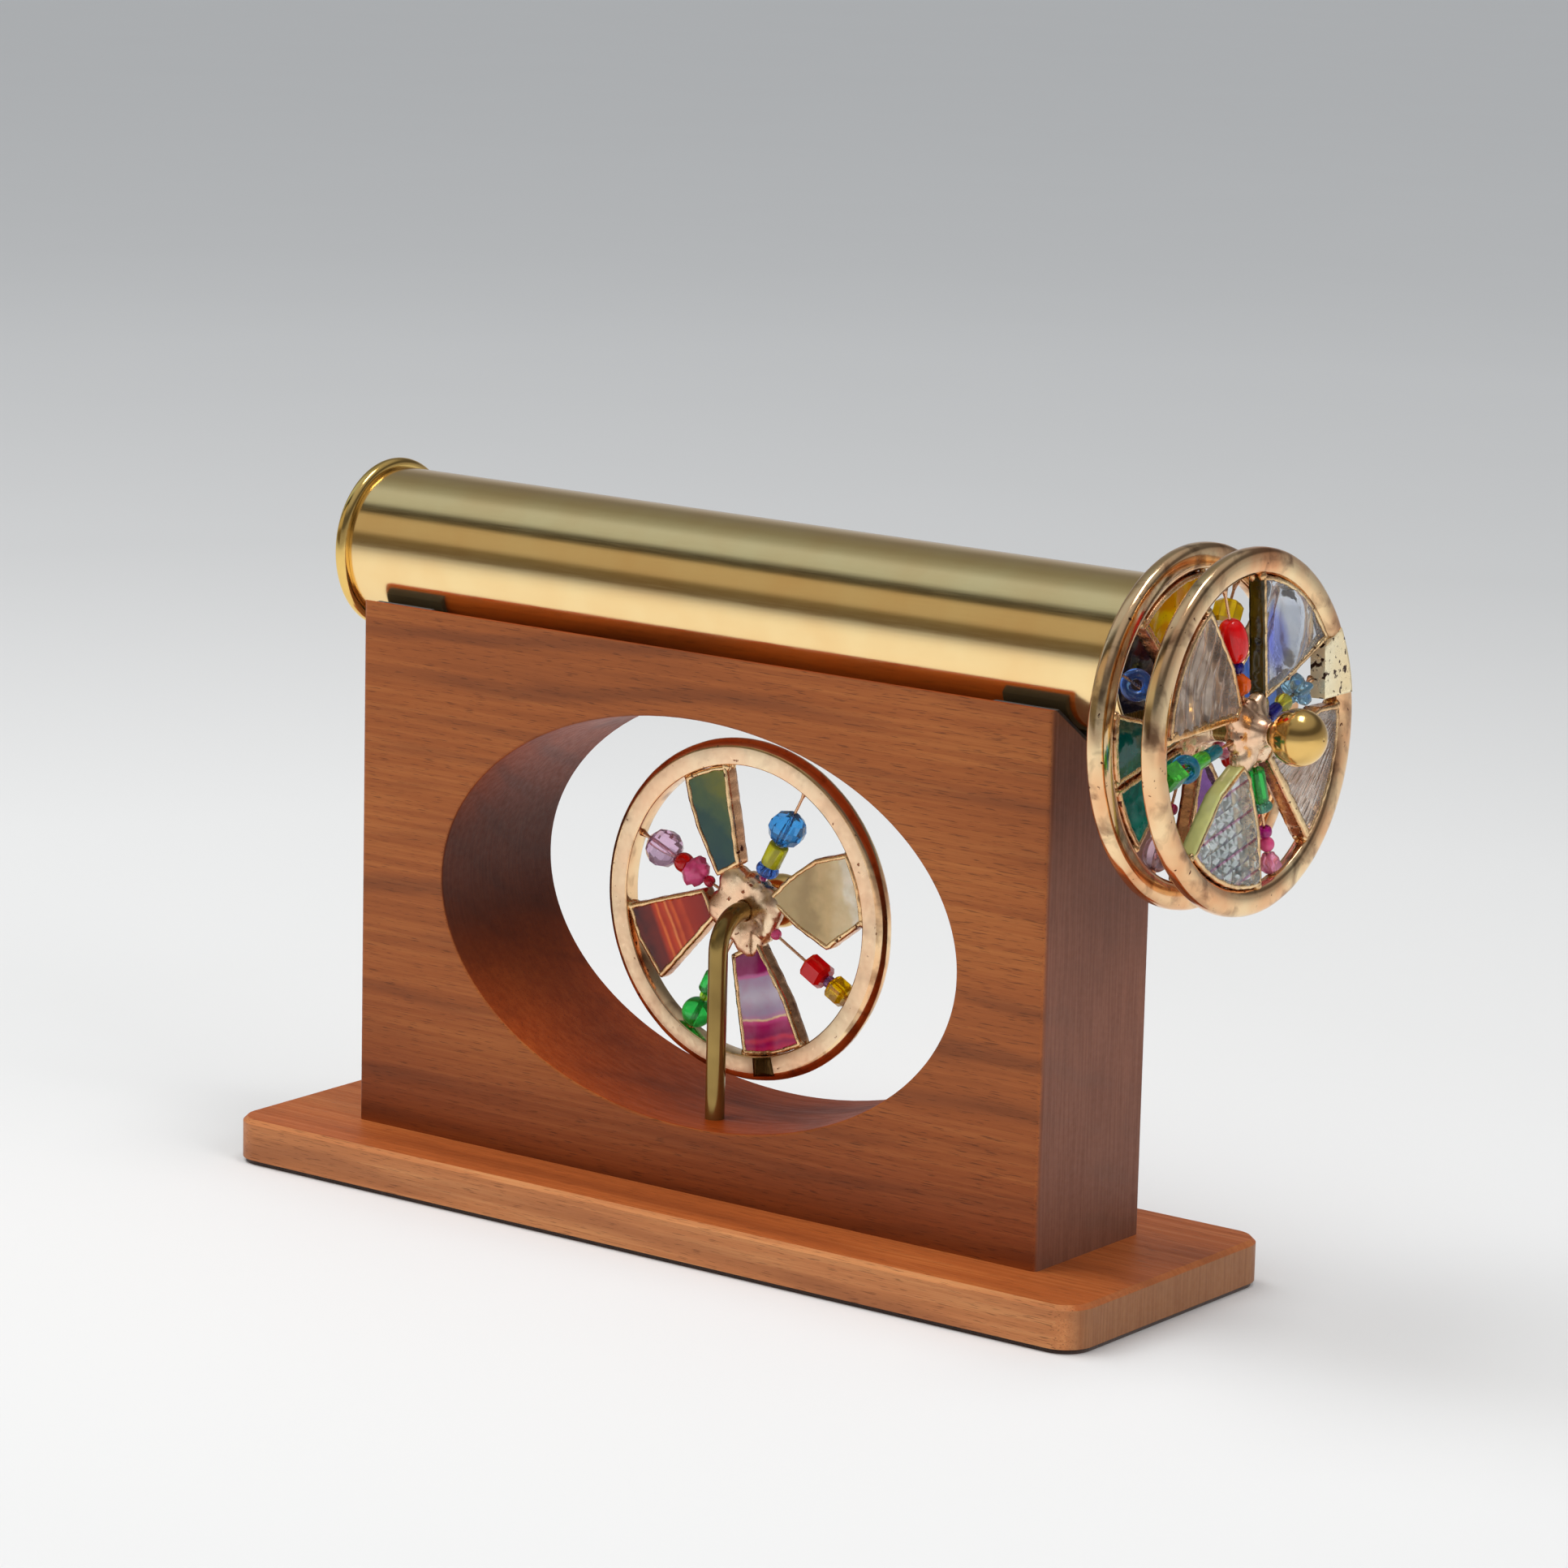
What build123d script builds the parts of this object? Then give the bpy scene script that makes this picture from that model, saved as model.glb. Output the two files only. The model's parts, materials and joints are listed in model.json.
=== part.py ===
"""Tabletop kaleidoscope on a walnut stand, with two end wheels and a display wheel.

Millimetres.  Origin: centre of the felt underside of the base.
+X runs from the eyepiece to the end wheels, +Z is up.
"""
from build123d import *
from math import cos, radians, sin, sqrt, tan
import os

os.makedirs("parts", exist_ok=True)

# ---------------------------------------------------------------- driving dimensions
# every cut runs this far past the face that it opens
cut_margin = 1.0

# base
base_length = 255.0
base_width = 81.6
base_thick = 10.3
base_corner = 7.6
base_chamfer = 1.1
felt_thick = 1.2
felt_inset = 0.8

# upright block with its oval window
block_length = 205.3
block_shift_x = 0.85
block_thick = 43.1
block_height = 131.8
block_edge = 1.3
oval_x = 1.4
oval_z = 77.5
oval_half_length = 77.3
oval_half_height = 49.7
oval_edge = 0.6

# felt-lined cradle along the top of the block
rail_width = 1.0
cradle_angle = 35.0
cradle_depth = 10.3
pad_thick = 1.6
pad_length = 17.5
pad_end_gap = 1.5
pad_drop = 0.5
rest_gap = 0.05

# screws from below, through the base into the block
screw_spacing = 140.0
screw_length = 30.0
screw_radius = 2.1
screw_head_radius = 4.2
screw_head_height = 2.6
screw_head_taper = 38.0
screw_clearance = 0.1

# optical tube
tube_radius = 19.05
tube_wall = 0.8
tube_length = 228.6
tube_end_x = 118.0
insert_gap = 0.05

# eyepiece cap
cap_overhang = 1.7
cap_bead_radius = 21.2
cap_bead_width = 3.4
cap_bead_round = 1.66
cap_face_thick = 1.5
cap_spigot_length = 6.0
cap_spigot_wall = 1.5
eye_hole_radius = 7.0
eye_hole_chamfer = 0.8
eye_lens_thick = 2.0

# mirrors and their packing
mirror_face = 28.0
mirror_thick = 2.0
mirror_start_gap = 1.0
mirror_end_gap = 3.5
packing_length = 12.0
packing_inset = 6.0
packing_front_x = 60.0

# object window and axle block in the tube's mouth
window_thick = 2.0
window_recess = 0.5
axle_block_length = 12.0
axle_block_drop = 10.8

# axle for the end wheels
rod_radius = 2.38
running_gap = 0.05
axle_tilt = 2.45
front_wheel_x = 142.0
front_wheel_z = 140.65
wheel_pitch = 14.4
axle_inner_reach = 50.0

# wheels
ring_outer = 42.0
ring_inner = 35.6
ring_thick = 5.0
ring_round = 2.2
ring_inner_round = 0.5
hub_tube_radius = 2.85
hub_tube_back = -0.5
hub_tube_front = 6.5
hub_disc_radius = 8.0
hub_disc_half = 2.2
hub_disc_edge_half = 1.54
hub_neck_radius = 3.9
hub_neck_start = 3.0
hub_neck_end = 5.6
hub_pit_radius = 5.0
panel_rim = 34.9
foil_width = 0.8
foil_proud = 0.3
end_panel_thick = 4.0
display_panel_thick = 3.6
web_width = 3.6
web_inner = 7.0
web_inset = 0.5
wire_radius = 0.4
bead_hole = 0.55
flower_petals = 5
plate_edge = 28.4
plate_outer = 35.5
plate_wire_angle = 18.0
plate_wire_gap = 0.15
plate_thick = 2.8

# spacers on the end axle
spacer_radius = hub_tube_radius
spacer_gap = 0.1
spacer_mouth_gap = 0.25

# ball knobs
ball_radius = 6.6
ball_offset = 13.2
ball_hole_depth = 8.2
rod_end_gap = 0.3

# display post, a rod bent over to carry the display wheel
post_y = -10.3
post_bend = 8.6
post_depth = 14.0
post_hole_gap = 0.02
display_wheel_y = 1.3

# ---------------------------------------------------------------- derived places
base_top = felt_thick + base_thick
block_top = base_top + block_height
block_x = [block_shift_x - block_length / 2, block_shift_x + block_length / 2]
cradle_half = block_thick / 2 - rail_width
cradle_sin = sin(radians(cradle_angle))
cradle_cos = cos(radians(cradle_angle))
tube_rest = tube_radius + pad_thick + rest_gap
tube_z = block_top + (tube_rest - cradle_half * cradle_sin) / cradle_cos
tube_start_x = tube_end_x - tube_length
tube_bore = tube_radius - tube_wall
insert_radius = tube_bore - insert_gap
cap_face_x = tube_start_x - cap_overhang
cap_face_inner_x = cap_face_x + cap_face_thick
cap_spigot_bore = insert_radius - cap_spigot_wall
cap_spigot_end_x = tube_start_x + cap_spigot_length
mirror_in_radius = mirror_face / (2 * sqrt(3))
mirror_start_x = cap_spigot_end_x + mirror_start_gap
mirror_end_x = tube_end_x - mirror_end_gap
window_x = tube_end_x - window_recess - window_thick

axle_direction = Vector(cos(radians(axle_tilt)), 0, sin(radians(axle_tilt)))
front_wheel = Plane(origin=(front_wheel_x, 0, front_wheel_z), x_dir=(0, 1, 0), z_dir=axle_direction)
rear_wheel = front_wheel.offset(-wheel_pitch)
display_wheel = Plane(origin=(oval_x, display_wheel_y, oval_z), x_dir=(-1, 0, 0), z_dir=(0, 1, 0))
rod_end = ball_offset - ball_radius + ball_hole_depth - rod_end_gap


# ---------------------------------------------------------------- shared shapes
def save(piece, name):
    """Label a finished piece and write it as one STEP file."""
    piece.label = name
    export_step(piece, f"parts/{name}.step")


def polar(radius, degrees):
    """A point of a wheel's plane, given by radius and angle."""
    return (radius * cos(radians(degrees)), radius * sin(radians(degrees)))


def radial_plane(wheel, degrees):
    """A plane at a wheel's centre that faces outwards along one of its radii."""
    outwards = wheel.x_dir * cos(radians(degrees)) + wheel.y_dir * sin(radians(degrees))
    return Plane(origin=wheel.origin, x_dir=wheel.z_dir, z_dir=outwards)


def section_plane(wheel):
    """The plane of a wheel's cross-section: x is the radius, y runs along the wheel's axis."""
    return Plane(origin=wheel.origin, x_dir=wheel.x_dir, z_dir=wheel.x_dir.cross(wheel.z_dir))


def cradle_section(inset, top):
    """Corners of the cradle's cross-section, moved inwards by inset and ending at height top."""
    floor = block_top - cradle_depth + inset
    slope = tan(radians(cradle_angle))

    def half_width(height):
        return cradle_half - inset / cradle_sin - (block_top - height) / slope

    wide = half_width(top)
    narrow = half_width(floor)
    return [(-wide, top), (-narrow, floor), (narrow, floor), (wide, top)]


def make_tube(plane, start, end, outer, inner, name):
    """A plain bush from start to end along a plane's normal."""
    with BuildPart() as bush:
        with BuildSketch(plane.offset(start)):
            Circle(outer)
            Circle(inner, mode=Mode.SUBTRACT)
        extrude(amount=end - start)
    save(bush.part, name)


# ---------------------------------------------------------------- stand
with BuildPart() as base_felt:
    with BuildSketch(Plane.XY):
        RectangleRounded(base_length - 2 * felt_inset, base_width - 2 * felt_inset, base_corner - felt_inset)
    extrude(amount=felt_thick)
save(base_felt.part, "base_felt")

screw_places = [(-screw_spacing / 2, 0), (screw_spacing / 2, 0)]

with BuildPart() as base_plate:
    with BuildSketch(Plane.XY.offset(felt_thick)):
        RectangleRounded(base_length, base_width, base_corner)
    extrude(amount=base_thick)
    chamfer(base_plate.edges().group_by(Axis.Z)[-1], base_chamfer)
    with BuildSketch(Plane.XY.offset(felt_thick)):
        with Locations(*screw_places):
            Circle(screw_head_radius + screw_clearance)
    extrude(amount=screw_head_height + screw_clearance, taper=screw_head_taper, mode=Mode.SUBTRACT)
    with BuildSketch(Plane.XY.offset(felt_thick)):
        with Locations(*screw_places):
            Circle(screw_radius + screw_clearance)
    extrude(amount=base_thick, mode=Mode.SUBTRACT)
save(base_plate.part, "base_plate")

with BuildPart() as block_screws:
    with BuildSketch(Plane.XY.offset(felt_thick)):
        with Locations(*screw_places):
            Circle(screw_head_radius)
    extrude(amount=screw_head_height, taper=screw_head_taper)
    with BuildSketch(Plane.XY.offset(felt_thick)):
        with Locations(*screw_places):
            Circle(screw_radius)
    extrude(amount=screw_length)
save(block_screws.part, "block_screws")

oval_bottom = oval_z - oval_half_height
with BuildPart() as upright_block:
    with BuildSketch(Plane.XY.offset(base_top)):
        with Locations((block_shift_x, 0)):
            Rectangle(block_length, block_thick)
    extrude(amount=block_height)
    fillet(upright_block.edges().filter_by(Axis.Z), block_edge)
    with BuildSketch(Plane.XZ.offset(-block_thick / 2 - cut_margin)):
        with Locations((oval_x, oval_z)):
            Ellipse(oval_half_length, oval_half_height)
    extrude(amount=block_thick + 2 * cut_margin, mode=Mode.SUBTRACT)
    oval_rims = upright_block.edges().sort_by(SortBy.LENGTH)[-2:]
    fillet(oval_rims, oval_edge)
    with BuildSketch(Plane.YZ.offset(block_x[0] - cut_margin)):
        Polygon(*cradle_section(0, block_top), align=None)
    extrude(amount=block_length + 2 * cut_margin, mode=Mode.SUBTRACT)
    with BuildSketch(Plane.XY.offset(oval_bottom - post_depth)):
        with Locations((oval_x, post_y)):
            Circle(rod_radius + post_hole_gap)
    extrude(amount=post_depth + oval_half_height, mode=Mode.SUBTRACT)
    with BuildSketch(Plane.XY.offset(base_top)):
        with Locations(*screw_places):
            Circle(screw_radius + screw_clearance)
    extrude(amount=felt_thick + screw_length - base_top + cut_margin, mode=Mode.SUBTRACT)
save(upright_block.part, "upright_block")

pad_starts = {
    "left_cradle_felt": block_x[0] + pad_end_gap,
    "right_cradle_felt": block_x[1] - pad_end_gap - pad_length,
}
for pad_name, pad_x in pad_starts.items():
    with BuildPart() as cradle_felt:
        with BuildSketch(Plane.YZ.offset(pad_x)):
            Polygon(*cradle_section(0, block_top - pad_drop), align=None)
            Polygon(*cradle_section(pad_thick, block_top), align=None, mode=Mode.SUBTRACT)
        extrude(amount=pad_length)
    save(cradle_felt.part, pad_name)

# ---------------------------------------------------------------- display post and its ball
with BuildPart() as display_post:
    with BuildLine():
        FilletPolyline(
            (oval_x, post_y, oval_bottom - post_depth),
            (oval_x, post_y, oval_z),
            (oval_x, display_wheel_y + rod_end, oval_z),
            radius=post_bend,
        )
    with BuildSketch(Plane.XY.offset(oval_bottom - post_depth)):
        with Locations((oval_x, post_y)):
            Circle(rod_radius)
    sweep()
save(display_post.part, "display_post")


def make_ball(wheel, name):
    """A turned ball with a blind hole that screws on the end of a rod."""
    with BuildPart() as ball:
        with Locations(wheel.offset(ball_offset)):
            Sphere(ball_radius)
        with BuildSketch(wheel.offset(ball_offset - ball_radius - cut_margin)):
            Circle(rod_radius + post_hole_gap)
        extrude(amount=ball_hole_depth + cut_margin, mode=Mode.SUBTRACT)
    save(ball.part, name)


make_ball(display_wheel, "display_ball")
make_ball(front_wheel, "axle_ball")

# ---------------------------------------------------------------- optical tube
tube_axis = Plane(origin=(0, 0, tube_z), x_dir=(0, 1, 0), z_dir=(1, 0, 0))
make_tube(tube_axis, tube_start_x, tube_end_x, tube_radius, tube_bore, "scope_tube")

with BuildPart() as eyepiece_cap:
    with BuildSketch(tube_axis.offset(cap_face_x)):
        Circle(cap_bead_radius)
    extrude(amount=cap_bead_width)
    fillet(eyepiece_cap.edges().filter_by(GeomType.CIRCLE), cap_bead_round)
    with BuildSketch(tube_axis.offset(tube_start_x - insert_gap)):
        Circle(tube_radius + insert_gap)
    extrude(amount=cap_bead_width, mode=Mode.SUBTRACT)
    with BuildSketch(tube_axis.offset(cap_face_inner_x)):
        Circle(insert_radius)
    extrude(amount=cap_spigot_end_x - cap_face_inner_x)
    with BuildSketch(tube_axis.offset(cap_face_inner_x)):
        Circle(cap_spigot_bore)
    extrude(amount=cap_spigot_end_x - cap_face_inner_x, mode=Mode.SUBTRACT)
    with BuildSketch(tube_axis.offset(cap_face_x)):
        Circle(eye_hole_radius)
    extrude(amount=cap_face_thick, mode=Mode.SUBTRACT)
    with BuildSketch(tube_axis.offset(cap_face_x)):
        Circle(eye_hole_radius + eye_hole_chamfer)
    extrude(amount=eye_hole_chamfer, taper=45, mode=Mode.SUBTRACT)
save(eyepiece_cap.part, "eyepiece_cap")

with BuildPart() as eyepiece_lens:
    with BuildSketch(tube_axis.offset(cap_face_inner_x)):
        Circle(cap_spigot_bore - insert_gap)
    extrude(amount=eye_lens_thick)
save(eyepiece_lens.part, "eyepiece_lens")

mirror_angles = {"base_mirror": -90, "left_mirror": 30, "right_mirror": 150}
for mirror_name, mirror_angle in mirror_angles.items():
    with BuildPart() as mirror_strip:
        with BuildSketch(tube_axis.offset(mirror_start_x)):
            with Locations(polar(mirror_in_radius + mirror_thick / 2, mirror_angle)):
                Rectangle(mirror_thick, mirror_face, rotation=mirror_angle)
        extrude(amount=mirror_end_x - mirror_start_x)
    save(mirror_strip.part, mirror_name)

# the packing fills the space between the mirrors' outer faces and the tube
mirror_corner_radius = sqrt((mirror_in_radius + mirror_thick) ** 2 + (mirror_face / 2) ** 2) + insert_gap
mirror_corner_spread = Vector(mirror_in_radius + mirror_thick, mirror_face / 2).get_angle(Vector(1, 0))
mirror_corners = [
    polar(mirror_corner_radius, angle + side * mirror_corner_spread)
    for angle in mirror_angles.values()
    for side in (-1, 1)
]
packing_starts = {"rear_packing": mirror_start_x + packing_inset, "front_packing": packing_front_x}
for packing_name, packing_x in packing_starts.items():
    with BuildPart() as packing:
        with BuildSketch(tube_axis.offset(packing_x)):
            Circle(insert_radius)
            Polygon(*mirror_corners, align=None, mode=Mode.SUBTRACT)
        extrude(amount=packing_length)
    save(packing.part, packing_name)

with BuildPart() as object_window:
    with BuildSketch(tube_axis.offset(window_x)):
        Circle(insert_radius)
        with Locations((0, -axle_block_drop + insert_gap)):
            Rectangle(2 * tube_radius, 2 * tube_radius, align=(Align.CENTER, Align.MAX), mode=Mode.SUBTRACT)
    extrude(amount=window_thick)
save(object_window.part, "object_window")

with BuildPart() as axle_block:
    with BuildSketch(tube_axis.offset(tube_end_x - axle_block_length)):
        Circle(insert_radius)
        with Locations((0, -axle_block_drop)):
            Rectangle(2 * tube_radius, 2 * tube_radius, align=(Align.CENTER, Align.MIN), mode=Mode.SUBTRACT)
    extrude(amount=axle_block_length)
    with BuildSketch(front_wheel):
        Circle(rod_radius + post_hole_gap)
    extrude(amount=-axle_inner_reach, mode=Mode.SUBTRACT)
save(axle_block.part, "axle_block")

# ---------------------------------------------------------------- axle, spacers
with BuildPart() as wheel_axle:
    with BuildSketch(front_wheel.offset(-axle_inner_reach)):
        Circle(rod_radius)
    extrude(amount=axle_inner_reach + rod_end)
save(wheel_axle.part, "wheel_axle")

spacer_bore = rod_radius + running_gap
mouth_reach = (front_wheel_x - tube_end_x) / axle_direction.X
rear_hub_back = hub_tube_back - wheel_pitch
rear_hub_front = hub_tube_front - wheel_pitch
make_tube(front_wheel, spacer_mouth_gap - mouth_reach, rear_hub_back - spacer_gap,
          spacer_radius, spacer_bore, "tube_spacer")
make_tube(front_wheel, rear_hub_front + spacer_gap, hub_tube_back - spacer_gap,
          spacer_radius, spacer_bore, "wheel_spacer")


# ---------------------------------------------------------------- wheels
def panel_edge(points, along_rim):
    """The closed edge of a glass or stone panel; along_rim closes it with an arc inside the ring."""
    corners = [polar(*point) for point in points]
    Polyline(*corners)
    middle = (points[0][1] + points[-1][1]) / 2
    if along_rim:
        ThreePointArc(corners[-1], polar(panel_rim, middle), corners[0])
    else:
        Line(corners[-1], corners[0])


def make_ring(wheel, name):
    """The wheel's rim: flat faces, an inner wall and a half-round outside."""
    with BuildPart() as ring:
        with BuildSketch(section_plane(wheel)) as rim_section:
            with Locations(((ring_inner + ring_outer) / 2, 0)):
                Rectangle(ring_outer - ring_inner, ring_thick)
            fillet(rim_section.vertices().group_by(Axis.X)[-1], ring_round)
            fillet(rim_section.vertices().group_by(Axis.X)[0], ring_inner_round)
        revolve(axis=Axis(wheel.origin, wheel.z_dir))
    save(ring.part, name)


def make_hub(wheel, name):
    """A short brass tube in a mound of solder, with a pit where the rod goes in."""
    bore = rod_radius + running_gap
    with BuildPart() as hub:
        with BuildSketch(section_plane(wheel)):
            Polygon(
                (bore, hub_tube_back),
                (hub_tube_radius, hub_tube_back),
                (hub_pit_radius, -hub_disc_half),
                (hub_disc_radius, -hub_disc_edge_half),
                (hub_disc_radius, hub_disc_edge_half),
                (hub_neck_radius, hub_neck_start),
                (hub_tube_radius, hub_neck_end),
                (hub_tube_radius, hub_tube_front),
                (bore, hub_tube_front),
                align=None,
            )
        revolve(axis=Axis(wheel.origin, wheel.z_dir))
    save(hub.part, name)


def make_panel(wheel, thick, points, along_rim, name):
    """One glass or stone panel."""
    with BuildPart() as panel:
        with BuildSketch(wheel.offset(-thick / 2)):
            with BuildLine():
                panel_edge(points, along_rim)
            make_face()
        extrude(amount=thick)
    save(panel.part, name)


def make_foil(wheel, thick, panels, name):
    """The soldered foil round every panel of a wheel, with a web from each panel to the hub."""
    height = thick + 2 * foil_proud
    with BuildPart() as foil:
        for panel_name, points, along_rim, web_angle, web_reach in panels:
            with BuildSketch(wheel.offset(-height / 2)):
                with BuildLine():
                    panel_edge(points, along_rim)
                make_face()
                offset(amount=foil_width, kind=Kind.ARC)
                with BuildLine():
                    panel_edge(points, along_rim)
                make_face(mode=Mode.SUBTRACT)
            extrude(amount=height)
        for panel_name, points, along_rim, web_angle, web_reach in panels:
            with BuildSketch(radial_plane(wheel, web_angle).offset(web_inner)):
                Rectangle(thick - 2 * web_inset, web_width)
            extrude(amount=web_reach - web_inner)
        for panel_name, points, along_rim, web_angle, web_reach in panels:
            with BuildSketch(wheel.offset(-height)):
                with BuildLine():
                    panel_edge(points, along_rim)
                make_face()
            extrude(amount=2 * height, mode=Mode.SUBTRACT)
        with BuildSketch(wheel.offset(-height)):
            Circle(ring_outer)
            Circle(ring_inner, mode=Mode.SUBTRACT)
            Circle(hub_disc_radius)
        extrude(amount=2 * height, mode=Mode.SUBTRACT)
    save(foil.part, name)


def make_wires(wheel, strings, name):
    """The bead wires, each soldered to the hub at one end and to the ring or a plate at the other."""
    with BuildPart() as wires:
        for angle, wire_end, string_name, beads in strings:
            with BuildSketch(radial_plane(wheel, angle).offset(hub_disc_radius)):
                Circle(wire_radius)
            extrude(amount=wire_end - hub_disc_radius)
    save(wires.part, name)


def make_beads(wheel, angle, beads, name):
    """The beads of one wire: kind, distance from the hub's centre, width and length of each."""
    radius_plane = radial_plane(wheel, angle)
    with BuildPart() as string:
        for kind, place, width, length in beads:
            if kind == "round":
                with Locations(radius_plane.offset(place)):
                    Sphere(width / 2)
            else:
                with BuildSketch(radius_plane.offset(place - length / 2)):
                    if kind == "cube":
                        Rectangle(width, width)
                    elif kind == "hex":
                        RegularPolygon(width / 2, 6)
                    elif kind == "flower":
                        Circle(width / 3)
                        with PolarLocations(width / 3, flower_petals):
                            Circle(width / 6)
                    else:
                        Circle(width / 2)
                extrude(amount=length)
        with BuildSketch(radius_plane):
            Circle(bead_hole)
        extrude(amount=ring_outer, mode=Mode.SUBTRACT)
    save(string.part, name)


# each panel: name, corners as (radius, angle), outer side on the rim, web angle and reach
display_panels = [
    ("display_carnelian_panel", [(35.0, 353), (12.9, 13), (9.6, 343), (19, 327), (31.9, 321), (33.7, 340)],
     False, 357, 11),
    ("display_green_panel", [(34.9, 59), (30, 56), (24, 53), (11.3, 44), (11.7, 79), (34.9, 79)],
     True, 62, 11),
    ("display_cream_panel", [(34.9, 176), (25.4, 192), (15.8, 184), (8.9, 152), (16.8, 144), (25.9, 144),
                             (34.9, 149)], True, 160, 10),
    ("display_magenta_panel", [(34.9, 268), (23.9, 272), (12, 284), (8.9, 242), (23.8, 238), (34.9, 240)],
     True, 262, 10),
]
front_panels = [
    ("front_bubble_panel", [(34.9, 84), (8.9, 62), (20.2, 37), (34.9, 31)], True, 55, 10),
    ("front_wave_panel", [(34.9, 175), (8.9, 151), (9.2, 133), (18.4, 121), (34.9, 122)], True, 142, 10),
    ("front_pyramid_panel", [(34.9, 273), (22.9, 273), (10.5, 256), (9.1, 235), (19.1, 221), (34.9, 224)],
     True, 246, 10),
    ("front_reeded_panel", [(34.9, 362), (27.5, 363), (8.9, 330), (8.9, 311), (34.9, 309)], True, 320, 10),
]
rear_panels = [
    ("rear_amber_panel", [(34.9, 131), (9.2, 124), (9.2, 98), (34.9, 88)], True, 110, 10),
    ("rear_green_panel", [(34.9, 193), (9.6, 193), (9.6, 176), (34.9, 168)], True, 185, 10),
    ("rear_teal_panel", [(34.9, 222), (9.6, 214), (9.6, 203.5), (34.9, 196.5)], True, 208, 10),
    ("rear_violet_panel", [(34.9, 302), (9.2, 290), (9.2, 268), (34.9, 258)], True, 279, 10),
    ("rear_blue_panel", [(34.9, 398), (9.2, 388), (9.2, 362), (34.9, 352)], True, 375, 10),
]

# a plated plate closes the outer end of one gap of the front wheel, and that gap's wire ends at
# the plate's straight inner edge
plate_wire_end = plate_edge / cos(radians(plate_wire_angle)) - plate_wire_gap

# each string: wire angle, wire end, name, and its beads as kind, place, width, length
display_strings = [
    (23.5, ring_inner, "display_lilac_beads", [
        ("round", 28.2, 9.4, 9.4), ("ring", 21.5, 5.0, 3.6), ("tube", 17.2, 6.4, 4.8),
        ("round", 13.2, 2.9, 2.9),
    ]),
    (117.5, ring_inner, "display_blue_beads", [
        ("round", 24.2, 9.2, 9.2), ("tube", 16.5, 5.0, 6.0), ("ring", 12.0, 5.8, 2.8),
        ("round", 9.4, 2.2, 2.2),
    ]),
    (209.5, ring_inner, "display_amber_beads", [
        ("round", 9.8, 2.8, 2.8), ("hex", 24.2, 7.2, 6.2), ("ring", 28.3, 3.2, 1.6),
        ("hex", 32.0, 7.0, 5.0),
    ]),
    (298, ring_inner, "display_green_beads", [
        ("cube", 22.6, 4.8, 5.2), ("round", 26.5, 2.4, 2.4), ("round", 31.6, 7.6, 7.6),
    ]),
]
front_strings = [
    (plate_wire_angle, plate_wire_end, "front_flower_beads", [
        ("tube", 10.6, 3.0, 4.4), ("round", 15.4, 4.2, 4.2), ("flower", 21.8, 8.0, 4.4),
    ]),
    (107, ring_inner, "front_red_beads", [
        ("round", 11.8, 5.0, 5.0), ("ring", 16.0, 3.0, 2.2), ("tube", 22.6, 6.8, 10.6),
    ]),
    (190, ring_inner, "front_teal_beads", [
        ("tube", 15.6, 3.2, 5.2), ("tube", 21.4, 3.8, 5.6), ("ring", 26.6, 6.4, 3.4),
        ("cube", 31.6, 5.0, 5.6),
    ]),
    (286, ring_inner, "front_pink_beads", [
        ("tube", 13.2, 4.4, 8.0), ("ring", 18.6, 5.6, 2.0), ("ring", 24.8, 3.4, 2.4),
        ("round", 28.0, 3.6, 3.6), ("round", 32.6, 5.4, 5.4),
    ]),
]
rear_strings = [
    (61, ring_inner, "rear_yellow_beads", [
        ("round", 11.4, 3.0, 3.0), ("tube", 17.0, 4.0, 6.0), ("hex", 27.8, 6.8, 5.6),
    ]),
    (152, ring_inner, "rear_blue_beads", [
        ("round", 12.0, 4.0, 4.0), ("tube", 18.4, 3.6, 6.0), ("ring", 27.2, 7.4, 4.4),
    ]),
    (240, ring_inner, "rear_mauve_beads", [
        ("round", 11.2, 3.2, 3.2), ("ring", 20.2, 3.4, 2.2), ("ring", 22.8, 3.4, 2.2),
        ("tube", 31.0, 6.6, 8.6),
    ]),
    (327, ring_inner, "rear_rose_beads", [
        ("tube", 12.6, 3.4, 5.0), ("round", 18.0, 4.6, 4.6), ("cube", 28.4, 5.0, 5.4),
    ]),
]

wheels = [
    ("display", display_wheel, display_panel_thick, display_panels, display_strings),
    ("front", front_wheel, end_panel_thick, front_panels, front_strings),
    ("rear", rear_wheel, end_panel_thick, rear_panels, rear_strings),
]
for wheel_name, wheel_plane, glass_thick, panel_set, string_set in wheels:
    make_ring(wheel_plane, f"{wheel_name}_ring")
    make_hub(wheel_plane, f"{wheel_name}_hub")
    for node_name, corner_points, on_rim, web_at, web_end in panel_set:
        make_panel(wheel_plane, glass_thick, corner_points, on_rim, node_name)
    make_foil(wheel_plane, glass_thick, panel_set, f"{wheel_name}_foil")
    make_wires(wheel_plane, string_set, f"{wheel_name}_bead_wires")
    for string_angle, string_end, node_name, bead_list in string_set:
        make_beads(wheel_plane, string_angle, bead_list, node_name)

plate_corners = [(plate_outer, 28.5)]
plate_corners += [(plate_edge / cos(radians(angle)), angle) for angle in (28.8, 7.6)]
plate_corners += [(plate_outer, 5.5)]
make_panel(front_wheel, plate_thick, plate_corners, False, "front_plated_plate")
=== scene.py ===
"""Blender looks for the wheel kaleidoscope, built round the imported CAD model.

The tube, the bent post, the balls and the wheels' plated rims, solder, glass and beads are modelled here
piece by piece. The wood, felt and plain turned parts keep their CAD shapes and get their materials here.
"""
import bmesh
import bpy
import json
from math import atan2, cos, hypot, pi, radians, sin
from mathutils import Matrix, Vector, noise
from mathutils.geometry import delaunay_2d_cdt


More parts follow.
